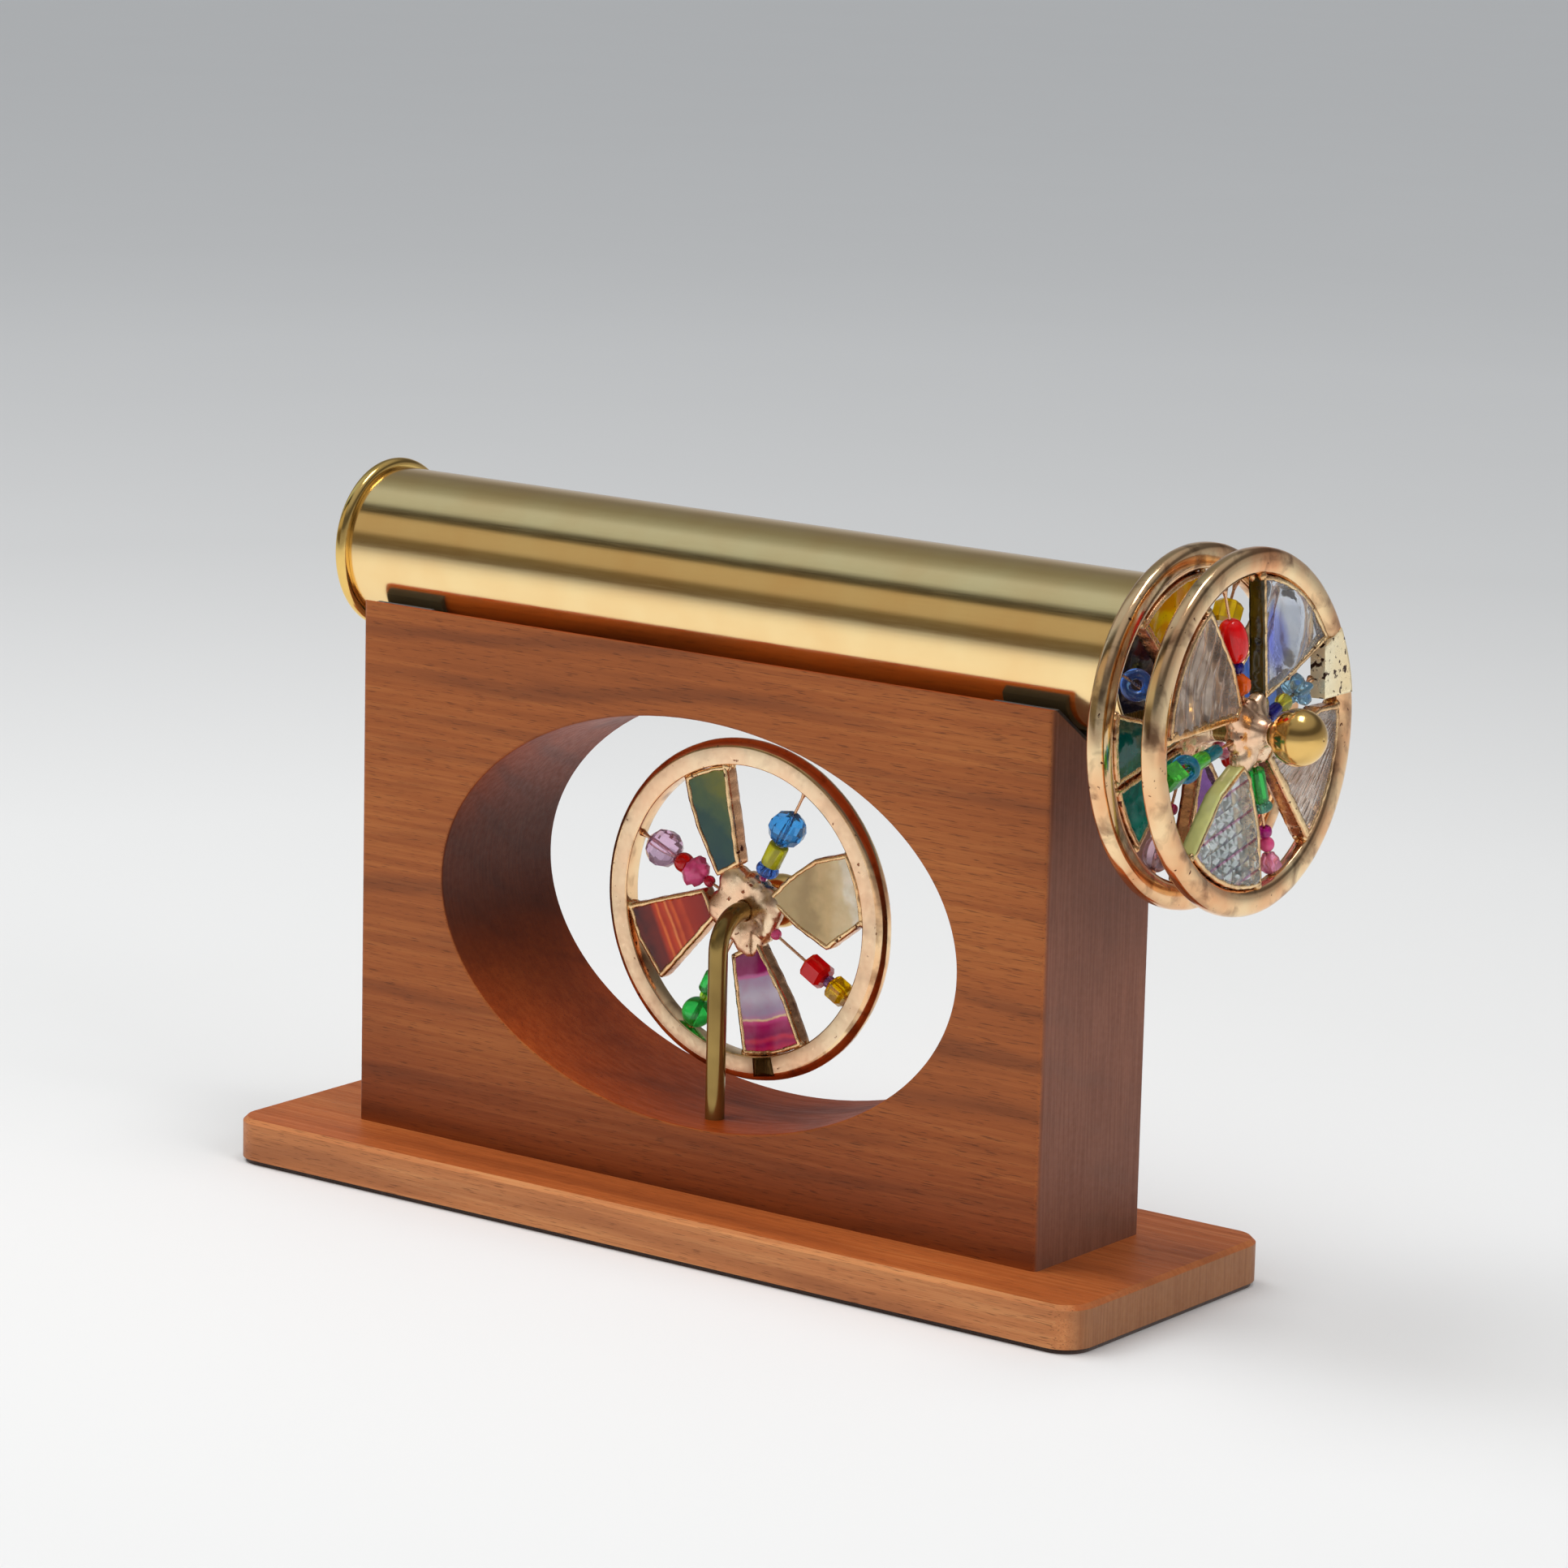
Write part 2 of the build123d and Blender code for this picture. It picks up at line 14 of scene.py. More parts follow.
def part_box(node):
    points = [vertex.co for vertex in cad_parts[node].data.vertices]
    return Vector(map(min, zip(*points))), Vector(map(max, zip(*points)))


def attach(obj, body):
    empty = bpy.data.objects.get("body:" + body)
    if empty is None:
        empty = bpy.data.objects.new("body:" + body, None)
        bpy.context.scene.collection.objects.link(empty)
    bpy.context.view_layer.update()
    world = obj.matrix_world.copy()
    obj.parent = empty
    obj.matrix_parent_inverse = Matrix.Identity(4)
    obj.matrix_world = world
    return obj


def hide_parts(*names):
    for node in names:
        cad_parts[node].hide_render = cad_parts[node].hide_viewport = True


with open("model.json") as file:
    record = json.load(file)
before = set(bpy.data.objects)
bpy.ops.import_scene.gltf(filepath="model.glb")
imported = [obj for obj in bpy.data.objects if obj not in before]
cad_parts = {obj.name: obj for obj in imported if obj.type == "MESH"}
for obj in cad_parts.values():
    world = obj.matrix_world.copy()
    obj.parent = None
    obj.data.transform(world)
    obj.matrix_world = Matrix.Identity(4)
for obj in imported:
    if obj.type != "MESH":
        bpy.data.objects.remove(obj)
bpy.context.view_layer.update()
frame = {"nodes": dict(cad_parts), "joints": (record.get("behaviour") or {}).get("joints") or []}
nodes = frame["nodes"]
joints = {joint["name"]: joint for joint in frame["joints"]}
MM = 0.001


# ---------------------------------------------------------------- material building
def srgb(red, green, blue):
    """A linear colour from screen values between 0 and 255."""
    parts = [value / 255 for value in (red, green, blue)]
    return tuple(p / 12.92 if p < 0.04045 else ((p + 0.055) / 1.055) ** 2.4 for p in parts) + (1.0,)


def dim(colour, share):
    """A colour at a share of its brightness."""
    return tuple(part * share for part in colour[:3]) + (1.0,)


class Graph:
    """A material or world and the short calls that build its nodes. Texture places are in millimetres."""

    def __init__(self, name, settings=None, owners=bpy.data.materials, shader="Principled BSDF"):
        self.owner = owners.new(name)
        self.owner.use_nodes = True
        self.tree = self.owner.node_tree
        self.shader = self.tree.nodes[shader]
        self.set(self.shader, settings or {})
        self.coords = self.tree.nodes.new("ShaderNodeTexCoord")

    def set(self, node, inputs):
        for key, value in inputs.items():
            socket = node.inputs[key]
            if isinstance(value, bpy.types.NodeSocket):
                self.tree.links.new(value, socket)
            else:
                socket.default_value = value

    def add(self, kind, inputs=None, **settings):
        node = self.tree.nodes.new(kind)
        for key, value in settings.items():
            setattr(node, key, value)
        self.set(node, inputs or {})
        return node

    def place(self, stretch=1, turn=(0, 0, 0), shift=(0, 0, 0)):
        scale = tuple(s / MM for s in (stretch if isinstance(stretch, tuple) else (stretch,) * 3))
        return self.add("ShaderNodeMapping", {"Vector": self.coords.outputs["Object"], "Scale": scale,
                                              "Rotation": turn, "Location": shift}).outputs["Vector"]

    def noise(self, stretch, detail=3.0, distortion=0.0, scale=1.0, turn=(0, 0, 0), shift=(0, 0, 0)):
        return self.add("ShaderNodeTexNoise", {"Vector": self.place(stretch, turn, shift), "Scale": scale,
                                               "Detail": detail, "Distortion": distortion}).outputs["Fac"]

    def ramp(self, factor, stops, mode="LINEAR"):
        node = self.add("ShaderNodeValToRGB", {"Fac": factor})
        node.color_ramp.interpolation = mode
        while len(node.color_ramp.elements) < len(stops):
            node.color_ramp.elements.new(0.5)
        for element, (at, colour) in zip(node.color_ramp.elements, stops):
            element.position = at
            element.color = colour if isinstance(colour, tuple) else (colour, colour, colour, 1)
        return node.outputs["Color"]

    def math(self, operation, *values):
        return self.add("ShaderNodeMath", dict(enumerate(values)), operation=operation).outputs[0]

    def total(self, *terms):
        """The sum of (value, weight) pairs."""
        parts = [self.math("MULTIPLY", value, weight) for value, weight in terms]
        whole = parts[0]
        for part in parts[1:]:
            whole = self.math("ADD", whole, part)
        return whole

    def range(self, value, low, high, to_low=0.0, to_high=1.0):
        return self.add("ShaderNodeMapRange", {"Value": value, "From Min": low, "From Max": high,
                                               "To Min": to_low, "To Max": to_high}).outputs["Result"]

    def mix(self, factor, first, second, blend="MIX"):
        return self.add("ShaderNodeMix", {0: factor, 6: first, 7: second}, data_type="RGBA",
                        blend_type=blend).outputs[2]

    def finish(self, colour, pattern, smooth, rough, height, distance, strength):
        """The material, its roughness spread over a pattern and its bumps up to a distance in millimetres."""
        bump = self.add("ShaderNodeBump", {"Height": height, "Distance": distance * MM, "Strength": strength})
        self.set(self.shader, {"Base Color": colour, "Normal": bump.outputs["Normal"],
                               "Roughness": self.range(pattern, 0.3, 0.7, smooth, rough)})
        return self.owner

    def split(self, vector):
        return self.add("ShaderNodeSeparateXYZ", {"Vector": vector}).outputs


def wood(name, tones, end_tint, inner_shaded_tint, face_scale, other_painted_shade, foot_painted_shade, shift, gloss, box):
    """Oiled hardwood with its grain along X: soft growth lines, fine streaks and short dark pores. tones
    are the pale, middle and dark colours. end_tint is the end grain at the box's ends, and the colour after
    it is the end grain between them, which the block is given darker as painted shade inside its oval.
    The first scale changes the colour of the front and back faces, and the second and third darken every
    other face and the foot of the front and back faces, both painted shade. The end grain is painted
    darker towards its foot and lighter at its top as well, painted shade."""
    g = Graph(name, {"Specular IOR Level": 0.25, "Coat Weight": gloss, "Coat Roughness": 0.35})
    pale, middle, dark = [srgb(*tone) for tone in tones]
    low, high = box
    lean = (0, 0.012, 0.008)
    foot_height, end_height = 42 * MM, 110 * MM
    wander = g.noise((0.005, 0.012, 0.012), 2.0, shift=shift)
    ripple = g.noise((0.02, 0.06, 0.06), shift=shift)
    streaks = g.noise((0.014, 0.7, 0.7), 5.0, turn=lean, shift=shift)
    hairs = g.noise((0.03, 3.0, 3.0), turn=lean, shift=shift)
    pores = g.noise((0.2, 3.8, 3.8), 2.0, turn=lean, shift=shift)
    broad = g.noise((0.008, 0.04, 0.04), shift=shift)
    rays = g.noise((0.05, 1.5, 0.05), 5.0, shift=shift)
    _, y, z = g.split(g.place(shift=shift))
    rings = g.total((z, 1.0), (y, 0.4), (wander, 34.0), (ripple, 6.0))
    tone = g.total((streaks, 0.36), (broad, 0.44), (hairs, 0.2))
    deep = tuple(0.4 * a + 0.6 * b for a, b in zip(dark, middle))
    colour = g.ramp(tone, [(0.34, deep), (0.5, middle), (0.66, pale)])
    growth = g.range(g.math("SINE", g.math("MULTIPLY", rings, 0.55)), 0.2, 1.0)
    growth = g.math("MULTIPLY", growth, g.range(broad, 0.42, 0.6, 0.5, 0.04))
    colour = g.mix(growth, colour, dark)
    pore_mask = g.range(pores, 0.58, 0.68, 0.0, 0.55)
    colour = g.mix(pore_mask, colour, dim(dark, 0.45))
    normal = g.split(g.coords.outputs["Normal"])
    here = g.split(g.coords.outputs["Object"])
    from_middle = g.math("ABSOLUTE", g.math("SUBTRACT", here[0], (low.x + high.x) / 2))
    half = (high.x - low.x) / 2
    at_end = g.range(from_middle, half - 8 * MM, half - 6 * MM)
    # inside the block's oval the end grain takes the darker tint, painted shade in the hollow
    end_colour = g.mix(at_end, srgb(*inner_shaded_tint), srgb(*end_tint))
    end_colour = g.mix(g.range(rays, 0.4, 0.6, 0.26, 0.0), end_colour, dark, "MULTIPLY")
    # the end grain is painted darker towards its foot and a little lighter at its top, painted shade
    rise = g.range(here[2], low.z, low.z + end_height)
    end_painted_shade = g.mix(rise, (0.68, 0.76, 0.78, 1), (1.04, 1.04, 1.04, 1))
    end_colour = g.mix(1.0, end_colour, end_painted_shade, "MULTIPLY")
    ends = g.range(g.math("ABSOLUTE", normal[0]), 0.55, 0.95, 0.0, 0.86)
    faces = g.range(g.math("ABSOLUTE", normal[1]), 0.4, 0.6)
    foot = g.range(here[2], low.z, low.z + foot_height)
    # every other face and the foot of the front and back faces are darkened by their scales, painted shade
    tone_and_painted_shade = g.mix(faces, other_painted_shade + (1,), g.mix(foot, foot_painted_shade + (1,), face_scale + (1,)))
    colour = g.mix(ends, g.mix(1.0, colour, tone_and_painted_shade, "MULTIPLY"), end_colour)
    height = g.math("SUBTRACT", g.math("MULTIPLY", streaks, 0.4), pore_mask)
    return g.finish(colour, streaks, 0.56, 0.42, height, 0.05, 0.5)


def metal(name, colour, worn, roughness, stretch, fine, depth, spots=0.0, stain=(0, 0, 0), patches=0.0,
          bare=1.0):
    """Bare or plated metal: fine drawn grain and slow colour drift. spots over 0 adds small dark pits and
    patches over 0 adds broad tarnish, both in the stain colour. bare below 1 is a dull surface film."""
    g = Graph(name, {"Metallic": bare})
    slow = g.noise(0.06)
    grain = g.noise(stretch, scale=fine)
    tint = g.mix(g.range(slow, 0.35, 0.7), srgb(*colour), srgb(*worn))
    height = grain
    if patches:
        cloud = g.noise(0.16, 5.0, 0.4, shift=(3, 9, 1))
        tint = g.mix(g.range(cloud, 0.52, 0.72, 0.0, patches), tint, srgb(*stain))
    if spots:
        pits = g.noise(0.55, 4.0)
        pit_mask = g.range(pits, 0.74 - spots, 0.78 - spots)
        tint = g.mix(pit_mask, tint, srgb(*stain))
        height = g.math("SUBTRACT", height, g.math("MULTIPLY", pit_mask, 2.0))
    return g.finish(tint, grain, roughness * 0.8, roughness * 1.25, height, depth, 0.6)


def cloth(name, colour):
    """Short-napped felt."""
    g = Graph(name, {"Sheen Weight": 0.4, "Sheen Roughness": 0.6, "Specular IOR Level": 0.1})
    nap = g.noise(3, 5.0, 0.6)
    patches = g.noise(0.2, 2.0)
    colour = srgb(*colour)
    shade = g.mix(g.range(nap, 0.3, 0.7), dim(colour, 0.5), colour)
    tint = g.mix(g.range(patches, 0.3, 0.7, 0.0, 0.3), shade, colour)
    return g.finish(tint, nap, 0.85, 1.0, nap, 0.25, 0.8)


def glass(name, colour, roughness=0.02, clear=1.0, drift=0.25, seeds=0.0, deep=None):
    """Tinted glass or acrylic with a slow drift of colour, a faintly uneven surface and a few seeds."""
    g = Graph(name, {"Transmission Weight": clear, "IOR": 1.5})
    slow = g.noise(0.12, 2.0, 1.0)
    colour = srgb(*colour)
    deeper = srgb(*deep) if deep else dim(colour, 1 - drift)
    tint = g.mix(g.range(slow, 0.35, 0.65), colour, deeper)
    fine = g.noise(0.9, 2.0)
    if seeds:
        specks = g.noise(1.7, 1.0)
        tint = g.mix(g.range(specks, 0.72 - seeds, 0.76 - seeds, 0.0, 0.6), tint, dim(deeper, 0.4))
    return g.finish(tint, fine, roughness, roughness * 2, fine, 0.03, 0.5)


def agate(name, start, end, bend, waves, cloud, bands):
    """Polished banded stone. bands holds (place, red, green, blue) on the way from start to end, two
    (u, v) places of the display wheel in millimetres."""
    g = Graph(name, {"Coat Weight": 0.15, "Coat Roughness": 0.06, "Specular IOR Level": 0.3,
                     "Subsurface Weight": 0.15, "Subsurface Scale": 0.002})
    hub = Vector(joints["display_wheel_spin"]["pos_m"]) / MM
    step = Vector((start[0] - end[0], 0, end[1] - start[1]))
    first = hub + Vector((-start[0], 0, start[1]))
    x, _, z = g.split(g.place())
    place = g.total((x, step.x / step.length_squared), (z, step.z / step.length_squared))
    place = g.math("SUBTRACT", place, first.dot(step) / step.length_squared)
    wander = g.noise(waves)
    place = g.math("ADD", place, g.range(wander, 0.2, 0.8, -bend, bend))
    fine = g.noise(0.9, 4.0)
    place = g.math("ADD", place, g.range(fine, 0.2, 0.8, -bend * 0.12, bend * 0.12))
    colour = g.ramp(place, [(at, srgb(*shade)) for at, *shade in bands], "EASE")
    clouds = g.noise(0.22, shift=(7, 3, 5))
    colour = g.mix(g.range(clouds, 0.4, 0.75, 0.0, 0.4), colour, srgb(*cloud))
    return g.finish(colour, fine, 0.12, 0.22, fine, 0.01, 0.3)


def textured(name, pale, deep, clear, roughness, lines=None, fan=None, cast=None):
    """Pressed clear glass, slightly clouded. lines is (angle, spacing, colour) for faint coloured rows in
    the front wheel's plane, fan is the (u, v) centre of fine pressed rays there, and cast is
    (u, v, half width, half height, colour) for a soft patch of colour."""
    g = Graph(name, {"Transmission Weight": clear, "IOR": 1.5})
    slow = g.noise(0.16, 3.0, 1.2)
    tint = g.mix(g.range(slow, 0.35, 0.65), srgb(*pale), srgb(*deep))
    hub = Vector(joints["front_wheel_spin"]["pos_m"]) / MM
    _, y, z = g.split(g.place(shift=tuple(-hub)))
    fine = g.noise(0.9, 2.0)
    height, distance = fine, 0.03
    if lines:
        angle, spacing, colour = lines
        turn = radians(angle)
        row = g.total((y, -sin(turn) / spacing), (z, cos(turn) / spacing))
        row = g.math("PINGPONG", g.math("ADD", row, 0.25), 0.5)
        tint = g.mix(g.range(row, 0.05, 0.02, 0.0, 0.9), tint, srgb(*colour))
    if cast:
        u, v, half_width, half_height, colour = cast
        off = g.math("MULTIPLY", g.math("SUBTRACT", y, u), 1 / half_width)
        up = g.math("MULTIPLY", g.math("SUBTRACT", z, v), 1 / half_height)
        away = g.math("ADD", g.math("MULTIPLY", off, off), g.math("MULTIPLY", up, up))
        tint = g.mix(g.range(away, 0.3, 1.0, 0.85, 0.0), tint, srgb(*colour))
    if fan:
        way = g.math("ARCTAN2", g.math("SUBTRACT", z, fan[1]), g.math("SUBTRACT", y, fan[0]))
        wander = g.range(fine, 0.3, 0.7, -0.3, 0.3)
        rays = g.math("SINE", g.math("ADD", g.math("MULTIPLY", way, 120.0), wander))
        height, distance = rays, 0.14
        tint = g.mix(g.range(rays, 0.6, 1.0, 0.0, 0.5), tint, srgb(*pale))
    return g.finish(tint, fine, roughness, roughness * 2, height, distance, 0.6)


# ---------------------------------------------------------------- mesh building
def piece(name, soup, body, materials, replaced):
    """A mesh object from gathered faces, riding on a body and standing for CAD nodes."""
    mesh = bpy.data.meshes.new(name)
    mesh.from_pydata(soup.verts, [], soup.faces)
    for material in materials:
        mesh.materials.append(material)
    mesh.polygons.foreach_set("use_smooth", soup.smooth)
    mesh.polygons.foreach_set("material_index", soup.marks)
    mesh.validate()
    shell = bmesh.new()
    shell.from_mesh(mesh)
    bmesh.ops.recalc_face_normals(shell, faces=shell.faces)
    shell.to_mesh(mesh)
    shell.free()
    made = bpy.data.objects.new(name, mesh)
    bpy.context.scene.collection.objects.link(made)
    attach(made, body)
    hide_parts(*replaced)


class Soup:
    """Points, faces, face materials and flat or smooth shading, gathered before one mesh is made."""

    def __init__(self):
        self.verts, self.faces, self.marks, self.smooth = [], [], [], []

    def add(self, verts, faces, mark=0, smooth=True):
        start = len(self.verts)
        self.verts += verts
        self.faces += [tuple(start + index for index in face) for face in faces]
        self.marks += mark if isinstance(mark, list) else [mark] * len(faces)
        self.smooth += [smooth] * len(faces)


class Place:
    """A turned piece's own frame: u and v lie in its plane and w runs along its axis."""

    def __init__(self, origin, axis, x_dir):
        self.z = Vector(axis).normalized()
        self.x = Vector(x_dir)
        self.y = self.z.cross(self.x)
        self.origin = Vector(origin)

    def at(self, u, v, w):
        """A place in the row's frame, in metres, from millimetres in the wheel's frame."""
        return self.origin + (self.x * u + self.y * v + self.z * w) * MM

    def local(self, point):
        offset = (point - self.origin) / MM
        return offset.dot(self.x), offset.dot(self.y), offset.dot(self.z)


def wobble(place, scale, seed=0.0):
    """Smooth noise between about -1 and 1 at a place in millimetres."""
    return noise.noise(Vector(place) * scale + Vector((seed, seed * 1.7, -seed)))


def grid(rings, sides, closed):
    """Quads between rings of points. closed joins the last ring to the first."""
    faces = []
    for ring in range(rings if closed else rings - 1):
        here, there = ring * sides, (ring + 1) % rings * sides
        for side in range(sides):
            beside = (side + 1) % sides
            faces.append((here + side, here + beside, there + beside, there + side))
    return faces


def revolve(profile, sides, twist=False, shape=None):
    """A closed profile of (radius, height) turned about w. shape(angle, radius, height) may move a point."""
    verts = []
    for row, (radius, height) in enumerate(profile):
        for side in range(sides):
            angle = 2 * pi * (side + (0.5 if twist and row % 2 else 0)) / sides
            r, h = shape(angle, radius, height) if shape else (radius, height)
            verts.append((r * cos(angle), r * sin(angle), h))
    faces = grid(len(profile), sides, True)
    if twist:
        pairs = [((a, b, c), (a, c, d)) if index // sides % 2 else ((a, b, d), (b, c, d))
                 for index, (a, b, c, d) in enumerate(faces)]
        faces = [half for pair in pairs for half in pair]
    return verts, faces


def outline(node, wheel):
    """The edge of a panel's outer face, as (u, v) points in order, read from its CAD mesh."""
    mesh = nodes[node].data
    top = max(wheel.local(vertex.co)[2] for vertex in mesh.vertices)
    sides = {}
    for polygon in mesh.polygons:
        corners = [wheel.local(mesh.vertices[index].co) for index in polygon.vertices]
        if min(corner[2] for corner in corners) < top - 0.01:
            continue
        keys = [(round(corner[0], 3), round(corner[1], 3)) for corner in corners]
        for first, second in zip(keys, keys[1:] + keys[:1]):
            if (second, first) in sides:
                del sides[(second, first)]
            else:
                sides[(first, second)] = True
    following = {first: second for first, second in sides}
    start = next(iter(following))
    loop, here = [start], following[start]
    while here != start:
        loop.append(here)
        here = following[here]
    return loop, top


def resample(loop, step):
    """Points about a step apart along a closed outline, keeping its corners."""
    points = []
    for (u0, v0), (u1, v1) in zip(loop, loop[1:] + loop[:1]):
        parts = max(1, round(hypot(u1 - u0, v1 - v0) / step))
        points += [(u0 + (u1 - u0) * k / parts, v0 + (v1 - v0) * k / parts) for k in range(parts)]
    return points


def turned(wheel, profile, sides, shape=None, marks=0):
    """A smooth piece turned about a wheel's axis."""
    verts, faces = revolve(profile, sides, shape=shape)
    soup = Soup()
    soup.add([wheel.at(*vert) for vert in verts], faces, marks)
    return soup


# how many half cells a pressed lattice reaches from the hub, more than enough to cover a panel
lattice_reach = 40


def slab(wheel, loop, half, step, relief, back=None, lattice=None, fade=1.5):
    """A glass panel: its outer face is raised by relief(u, v) millimetres and its back is smooth. lattice
    gives the (turn, across, along) of pressed cells, whose corners and tops become the face's points."""
    edge = resample(loop, step)
    count = len(edge)
    us, vs = [p[0] for p in edge], [p[1] for p in edge]
    inner, corners = [], {}
    if lattice:
        turn, across, along = lattice
        for i in range(-lattice_reach, lattice_reach + 1):
            for j in range(-lattice_reach, lattice_reach + 1):
                a, b = i * across / 2, j * along / 2
                point = (a * cos(turn) - b * sin(turn), a * sin(turn) + b * cos(turn))
                if (i + j) % 2 == 0:
                    inner.append(point)
                if i % 2 and j % 2:
                    corners[point] = (i, j)
    else:
        for i in range(int((max(us) - min(us)) / step) + 1):
            for j in range(int((max(vs) - min(vs)) / step) + 1):
                inner.append((min(us) + (i + 0.5 * (j % 2)) * step, min(vs) + j * step))
    gaps = {p: min(hypot(p[0] - q[0], p[1] - q[1]) for q in edge) for p in inner if enclosed(p, edge)}
    inside = [p for p, gap in gaps.items() if gap > step * 0.6]
    points = [Vector(p) for p in edge + inside]
    ring = [(k, (k + 1) % count) for k in range(count)]
    numbers = {corners[point]: count + k for k, point in enumerate(inside) if point in corners}
    creases = [(here, numbers[(i + di, j + dj)]) for (i, j), here in numbers.items()
               for di, dj in ((2, 0), (0, 2)) if (i + di, j + dj) in numbers]
    flat, _, triangles, *_ = delaunay_2d_cdt(points, ring + creases, [], 1, 1e-6)
    soup = Soup()
    flat = [(p[0], p[1]) for p in flat]
    heights = [relief(*p) * min(1.0, gaps[p] / fade) if p in gaps else 0.0 for p in edge + inside]
    heights += [0.0] * (len(flat) - len(heights))
    n = len(flat)
    under = -half if back is None else back
    soup.add([wheel.at(u, v, half + rise) for (u, v), rise in zip(flat, heights)]
             + [wheel.at(u, v, under) for u, v in flat],
             [tuple(t) for t in triangles] + [tuple(n + k for k in reversed(t)) for t in triangles],
             smooth=not lattice)
    walls = [(b, a, n + a, n + b) for a, b in ring]
    soup.faces += walls
    soup.marks += [0] * len(walls)
    soup.smooth += [False] * len(walls)
    return soup


def enclosed(point, loop):
    """True if a point lies inside a closed outline."""
    inside = False
    for (u0, v0), (u1, v1) in zip(loop, loop[1:] + loop[:1]):
        if (v0 > point[1]) != (v1 > point[1]) and point[0] < (u1 - u0) * (point[1] - v0) / (v1 - v0) + u0:
            inside = not inside
    return inside


# the spacing of points over a panel, and the rows of a solder edge's section that lie on the panel's side
panel_step = 0.7
edge_rows = (3, 4, 5, 6)


def solder_edge(soup, wheel, loop, half, seed, lap=0.6, proud=0.22, side_mark=None, heavy=None):
    """The soldered foil round a panel: it laps over both faces in an uneven bead and covers the edge.
    side_mark is (material, angle) for a bare glass side that faces that way, and heavy is the angle that
    a broader band of solder faces."""
    def facing(nu, nv, degrees):
        return nu * cos(radians(degrees)) + nv * sin(radians(degrees))

    points = resample(loop, panel_step)
    count, rows = len(points), 12
    verts, normals = [], []
    for k in range(count):
        (u0, v0), (u1, v1) = points[k - 1], points[(k + 1) % count]
        length = hypot(u1 - u0, v1 - v0) or 1
        normals.append(((v1 - v0) / length, -(u1 - u0) / length))
    for (u, v), (nu, nv) in zip(points, normals):
        wide = lap
        if heavy is not None:
            wide *= 1 + 4.0 * max(0.0, facing(nu, nv, heavy) - 0.6)
        front = wide * (1 + 0.4 * wobble((u, v, 0), 0.4, seed) + 0.25 * wobble((u, v, 0), 1.3, seed + 3))
        back = lap * (1 + 0.5 * wobble((u, v, 9), 0.5, seed))
        rise = proud * (1 + 0.8 * wobble((u, v, 3), 0.8, seed))
        bulge = 0.6 + 0.18 * wobble((u, v, 5), 0.6, seed)
        section = [(-front, half + 0.02), (-front * 0.6, half + rise * 0.9), (-front * 0.1, half + rise),
                   (bulge * 0.8, half + rise * 0.5), (bulge, half * 0.6), (bulge * 1.05, 0),
                   (bulge, -half * 0.6), (bulge * 0.8, -half - rise * 0.5), (-back * 0.1, -half - rise),
                   (-back * 0.6, -half - rise * 0.9), (-back, -half - 0.02), (0.05, 0)]
        verts += [wheel.at(u + nu * out, v + nv * out, w) for out, w in section]
    marks = []
    for nu, nv in normals:
        edge_mark = side_mark[0] if side_mark and facing(nu, nv, side_mark[1]) > 0.4 else 1
        marks += [edge_mark if row in edge_rows else 0 for row in range(rows)]
    soup.add(verts, grid(count, rows, True), marks)


def bead_shape(kind, width, length):
    """(closed profile, sides, twist, shape, smooth) of one bead, turned about its wire."""
    hole, r, h = 0.5, width / 2, length / 2
    sides, twist, shape, smooth = 28, False, None, True

    def spread(limit, parts):
        return [radians(-limit + 2 * limit * k / parts) for k in range(parts + 1)]

    def petals(angle, radius, height):
        return (radius * (1 + 0.26 * cos(5 * angle)) if radius > hole * 1.5 else radius), height

    def lumpy(angle, radius, height):
        if radius < hole * 1.5:
            return radius, height
        place = (radius * cos(angle), radius * sin(angle), height)
        swell = 0.86 + 0.34 * wobble(place, 0.62, length)
        return radius * swell, height * (1 + 0.1 * wobble(place, 1.1, 4))

    if kind in ("donut", "hoop"):
        bore = hole if kind == "donut" else 1.3
        middle, half = (r + bore) / 2, (r - bore) / 2
        turns = [2 * pi * k / 14 for k in range(14)]
        return [(middle - half * cos(t), -h * sin(t)) for t in turns], sides, twist, shape, smooth
    if kind == "ball":
        arc = [(r * cos(a), r * sin(a)) for a in spread(83, 14)]
    elif kind == "oval":
        arc = [(max(r * cos(a) ** 0.72, hole + 0.1), h * sin(a)) for a in spread(86, 18)]
    elif kind == "facet":
        sides, smooth = 10, False
        arc = [(a * r, b * r) for a, b in
               ((0.34, -0.94), (0.8, -0.62), (1.0, -0.2), (1.0, 0.2), (0.8, 0.62), (0.34, 0.94))]
    elif kind in ("hex", "cube"):
        sides, smooth = 6 if kind == "hex" else 4, False
        cut = min(0.9, h * 0.35)
        arc = [(r - cut, -h), (r, -h + cut), (r, h - cut), (r - cut, h)]
    elif kind == "flower":
        sides, shape = 40, petals
        arc = [(r * 0.55, -h), (r * 0.8, -h * 0.4), (r * 0.8, h * 0.4), (r * 0.55, h)]
    elif kind == "lumps":
        sides, twist, shape = 20, True, lumpy
        arc = [(r * cos(a), h * sin(a)) for a in spread(80, 12)]
    else:
        # a tube with softened edges
        cut = min(0.45, h * 0.3)
        arc = [(r - cut, -h), (r - cut * 0.3, -h + cut * 0.3), (r, -h + cut), (r, h - cut),
               (r - cut * 0.3, h - cut * 0.3), (r - cut, h)]
    return [(hole, arc[0][1])] + arc + [(hole, arc[-1][1])], sides, twist, shape, smooth


